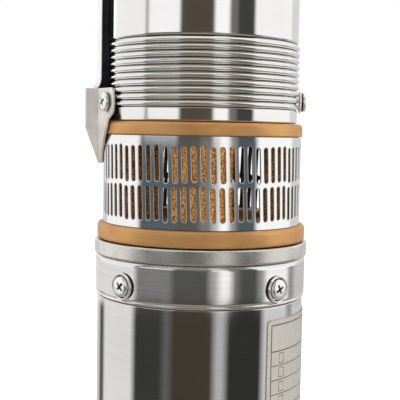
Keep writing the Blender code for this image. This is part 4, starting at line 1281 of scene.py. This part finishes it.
class PumpStage(bpy.types.Operator):
    """White floor, studio walls, soft lights and the camera"""

    bl_idname = "object.pump_stage"
    bl_label = "Stage"

    def execute(self, context):
        scene = context.scene
        studio_world()
        # The floor is rings of quads round a fan of triangles.
        radii = np.array([0.3, 0.8, 2.0, 6.0, 20.0])
        points = revolved(np.stack([radii, 0.0 * radii], axis=-1), 64).tolist() + [[0.0, 0.0, 0.0]]
        quads = grid_quads(len(radii), 64, False, True)[:, ::-1].tolist()
        fan = np.arange(64)
        quads += np.stack([np.full(64, len(points) - 1), fan, (fan + 1) % 64], axis=-1).tolist()
        mesh = bpy.data.meshes.new("floor")
        mesh.from_pydata(points, [], quads)
        mesh.materials.append(make_finish("paper", white_paper, {}))
        floor = bpy.data.objects.new("floor", mesh)
        floor.visible_glossy = False
        scene.collection.objects.link(floor)
        area_light("front_fill", (0.25, -1.6, 0.75), 0.9, 26.0)
        area_light("left_fill", (-1.5, -0.5, 0.9), 1.0, 16.0)
        area_light("right_fill", (1.5, -0.3, 0.8), 1.0, 12.0)
        camera = bpy.data.cameras.new("camera")
        camera.lens = 81.72
        camera.sensor_width = 36.0
        camera.clip_start = 0.01
        eye = bpy.data.objects.new("camera", camera)
        scene.collection.objects.link(eye)
        # The camera looks down by 4.25 degrees, and is turned and rolled a little.
        eye.matrix_world = (
            Matrix.Translation((0.0, -0.425, 0.3488))
            @ Matrix.Rotation(math.radians(0.08), 4, "Z")
            @ Matrix.Rotation(math.radians(90 - 4.25), 4, "X")
            @ Matrix.Rotation(math.radians(1.03), 4, "Z")
        )
        scene.camera = eye
        scene.view_settings.view_transform = "Standard"
        return {"FINISHED"}


class PumpPanel(bpy.types.Panel):
    """Shows the pump's sizes and finishes, and lists its pieces"""

    bl_idname = "VIEW3D_PT_pump"
    bl_label = "Borehole pump"
    bl_space_type = "VIEW_3D"
    bl_region_type = "UI"
    bl_category = "Pump"

    def draw(self, context):
        for group in (context.scene.pump_sizes, context.scene.pump_finishes):
            for name in group.__annotations__:
                self.layout.prop(group, name)
        for piece in PIECES:
            self.layout.operator(piece.bl_idname)


PIECES = (
    PumpMotor,
    PumpCollarScrews,
    PumpInlet,
    PumpStrainer,
    PumpTube,
    PumpLead,
    PumpGuard,
    PumpTubeScrews,
    PumpHead,
    PumpPlate,
    PumpStage,
)
CLASSES = (PumpSizes, PumpFinishes, *PIECES, PumpPanel)


def register():
    for made in CLASSES:
        bpy.utils.register_class(made)
    bpy.types.Scene.pump_sizes = PointerProperty(type=PumpSizes)
    bpy.types.Scene.pump_finishes = PointerProperty(type=PumpFinishes)


def unregister():
    del bpy.types.Scene.pump_finishes
    del bpy.types.Scene.pump_sizes
    for made in reversed(CLASSES):
        bpy.utils.unregister_class(made)


def main():
    register()
    bpy.ops.object.pump_motor()
    bpy.ops.object.pump_collar_screws()
    bpy.ops.object.pump_inlet()
    bpy.ops.object.pump_strainer()
    bpy.ops.object.pump_tube()
    bpy.ops.object.pump_lead()
    bpy.ops.object.pump_guard()
    bpy.ops.object.pump_tube_screws()
    bpy.ops.object.pump_head()
    bpy.ops.object.pump_plate()
    bpy.ops.object.pump_stage()
    bpy.context.view_layer.update()


if __name__ == "__main__":
    main()
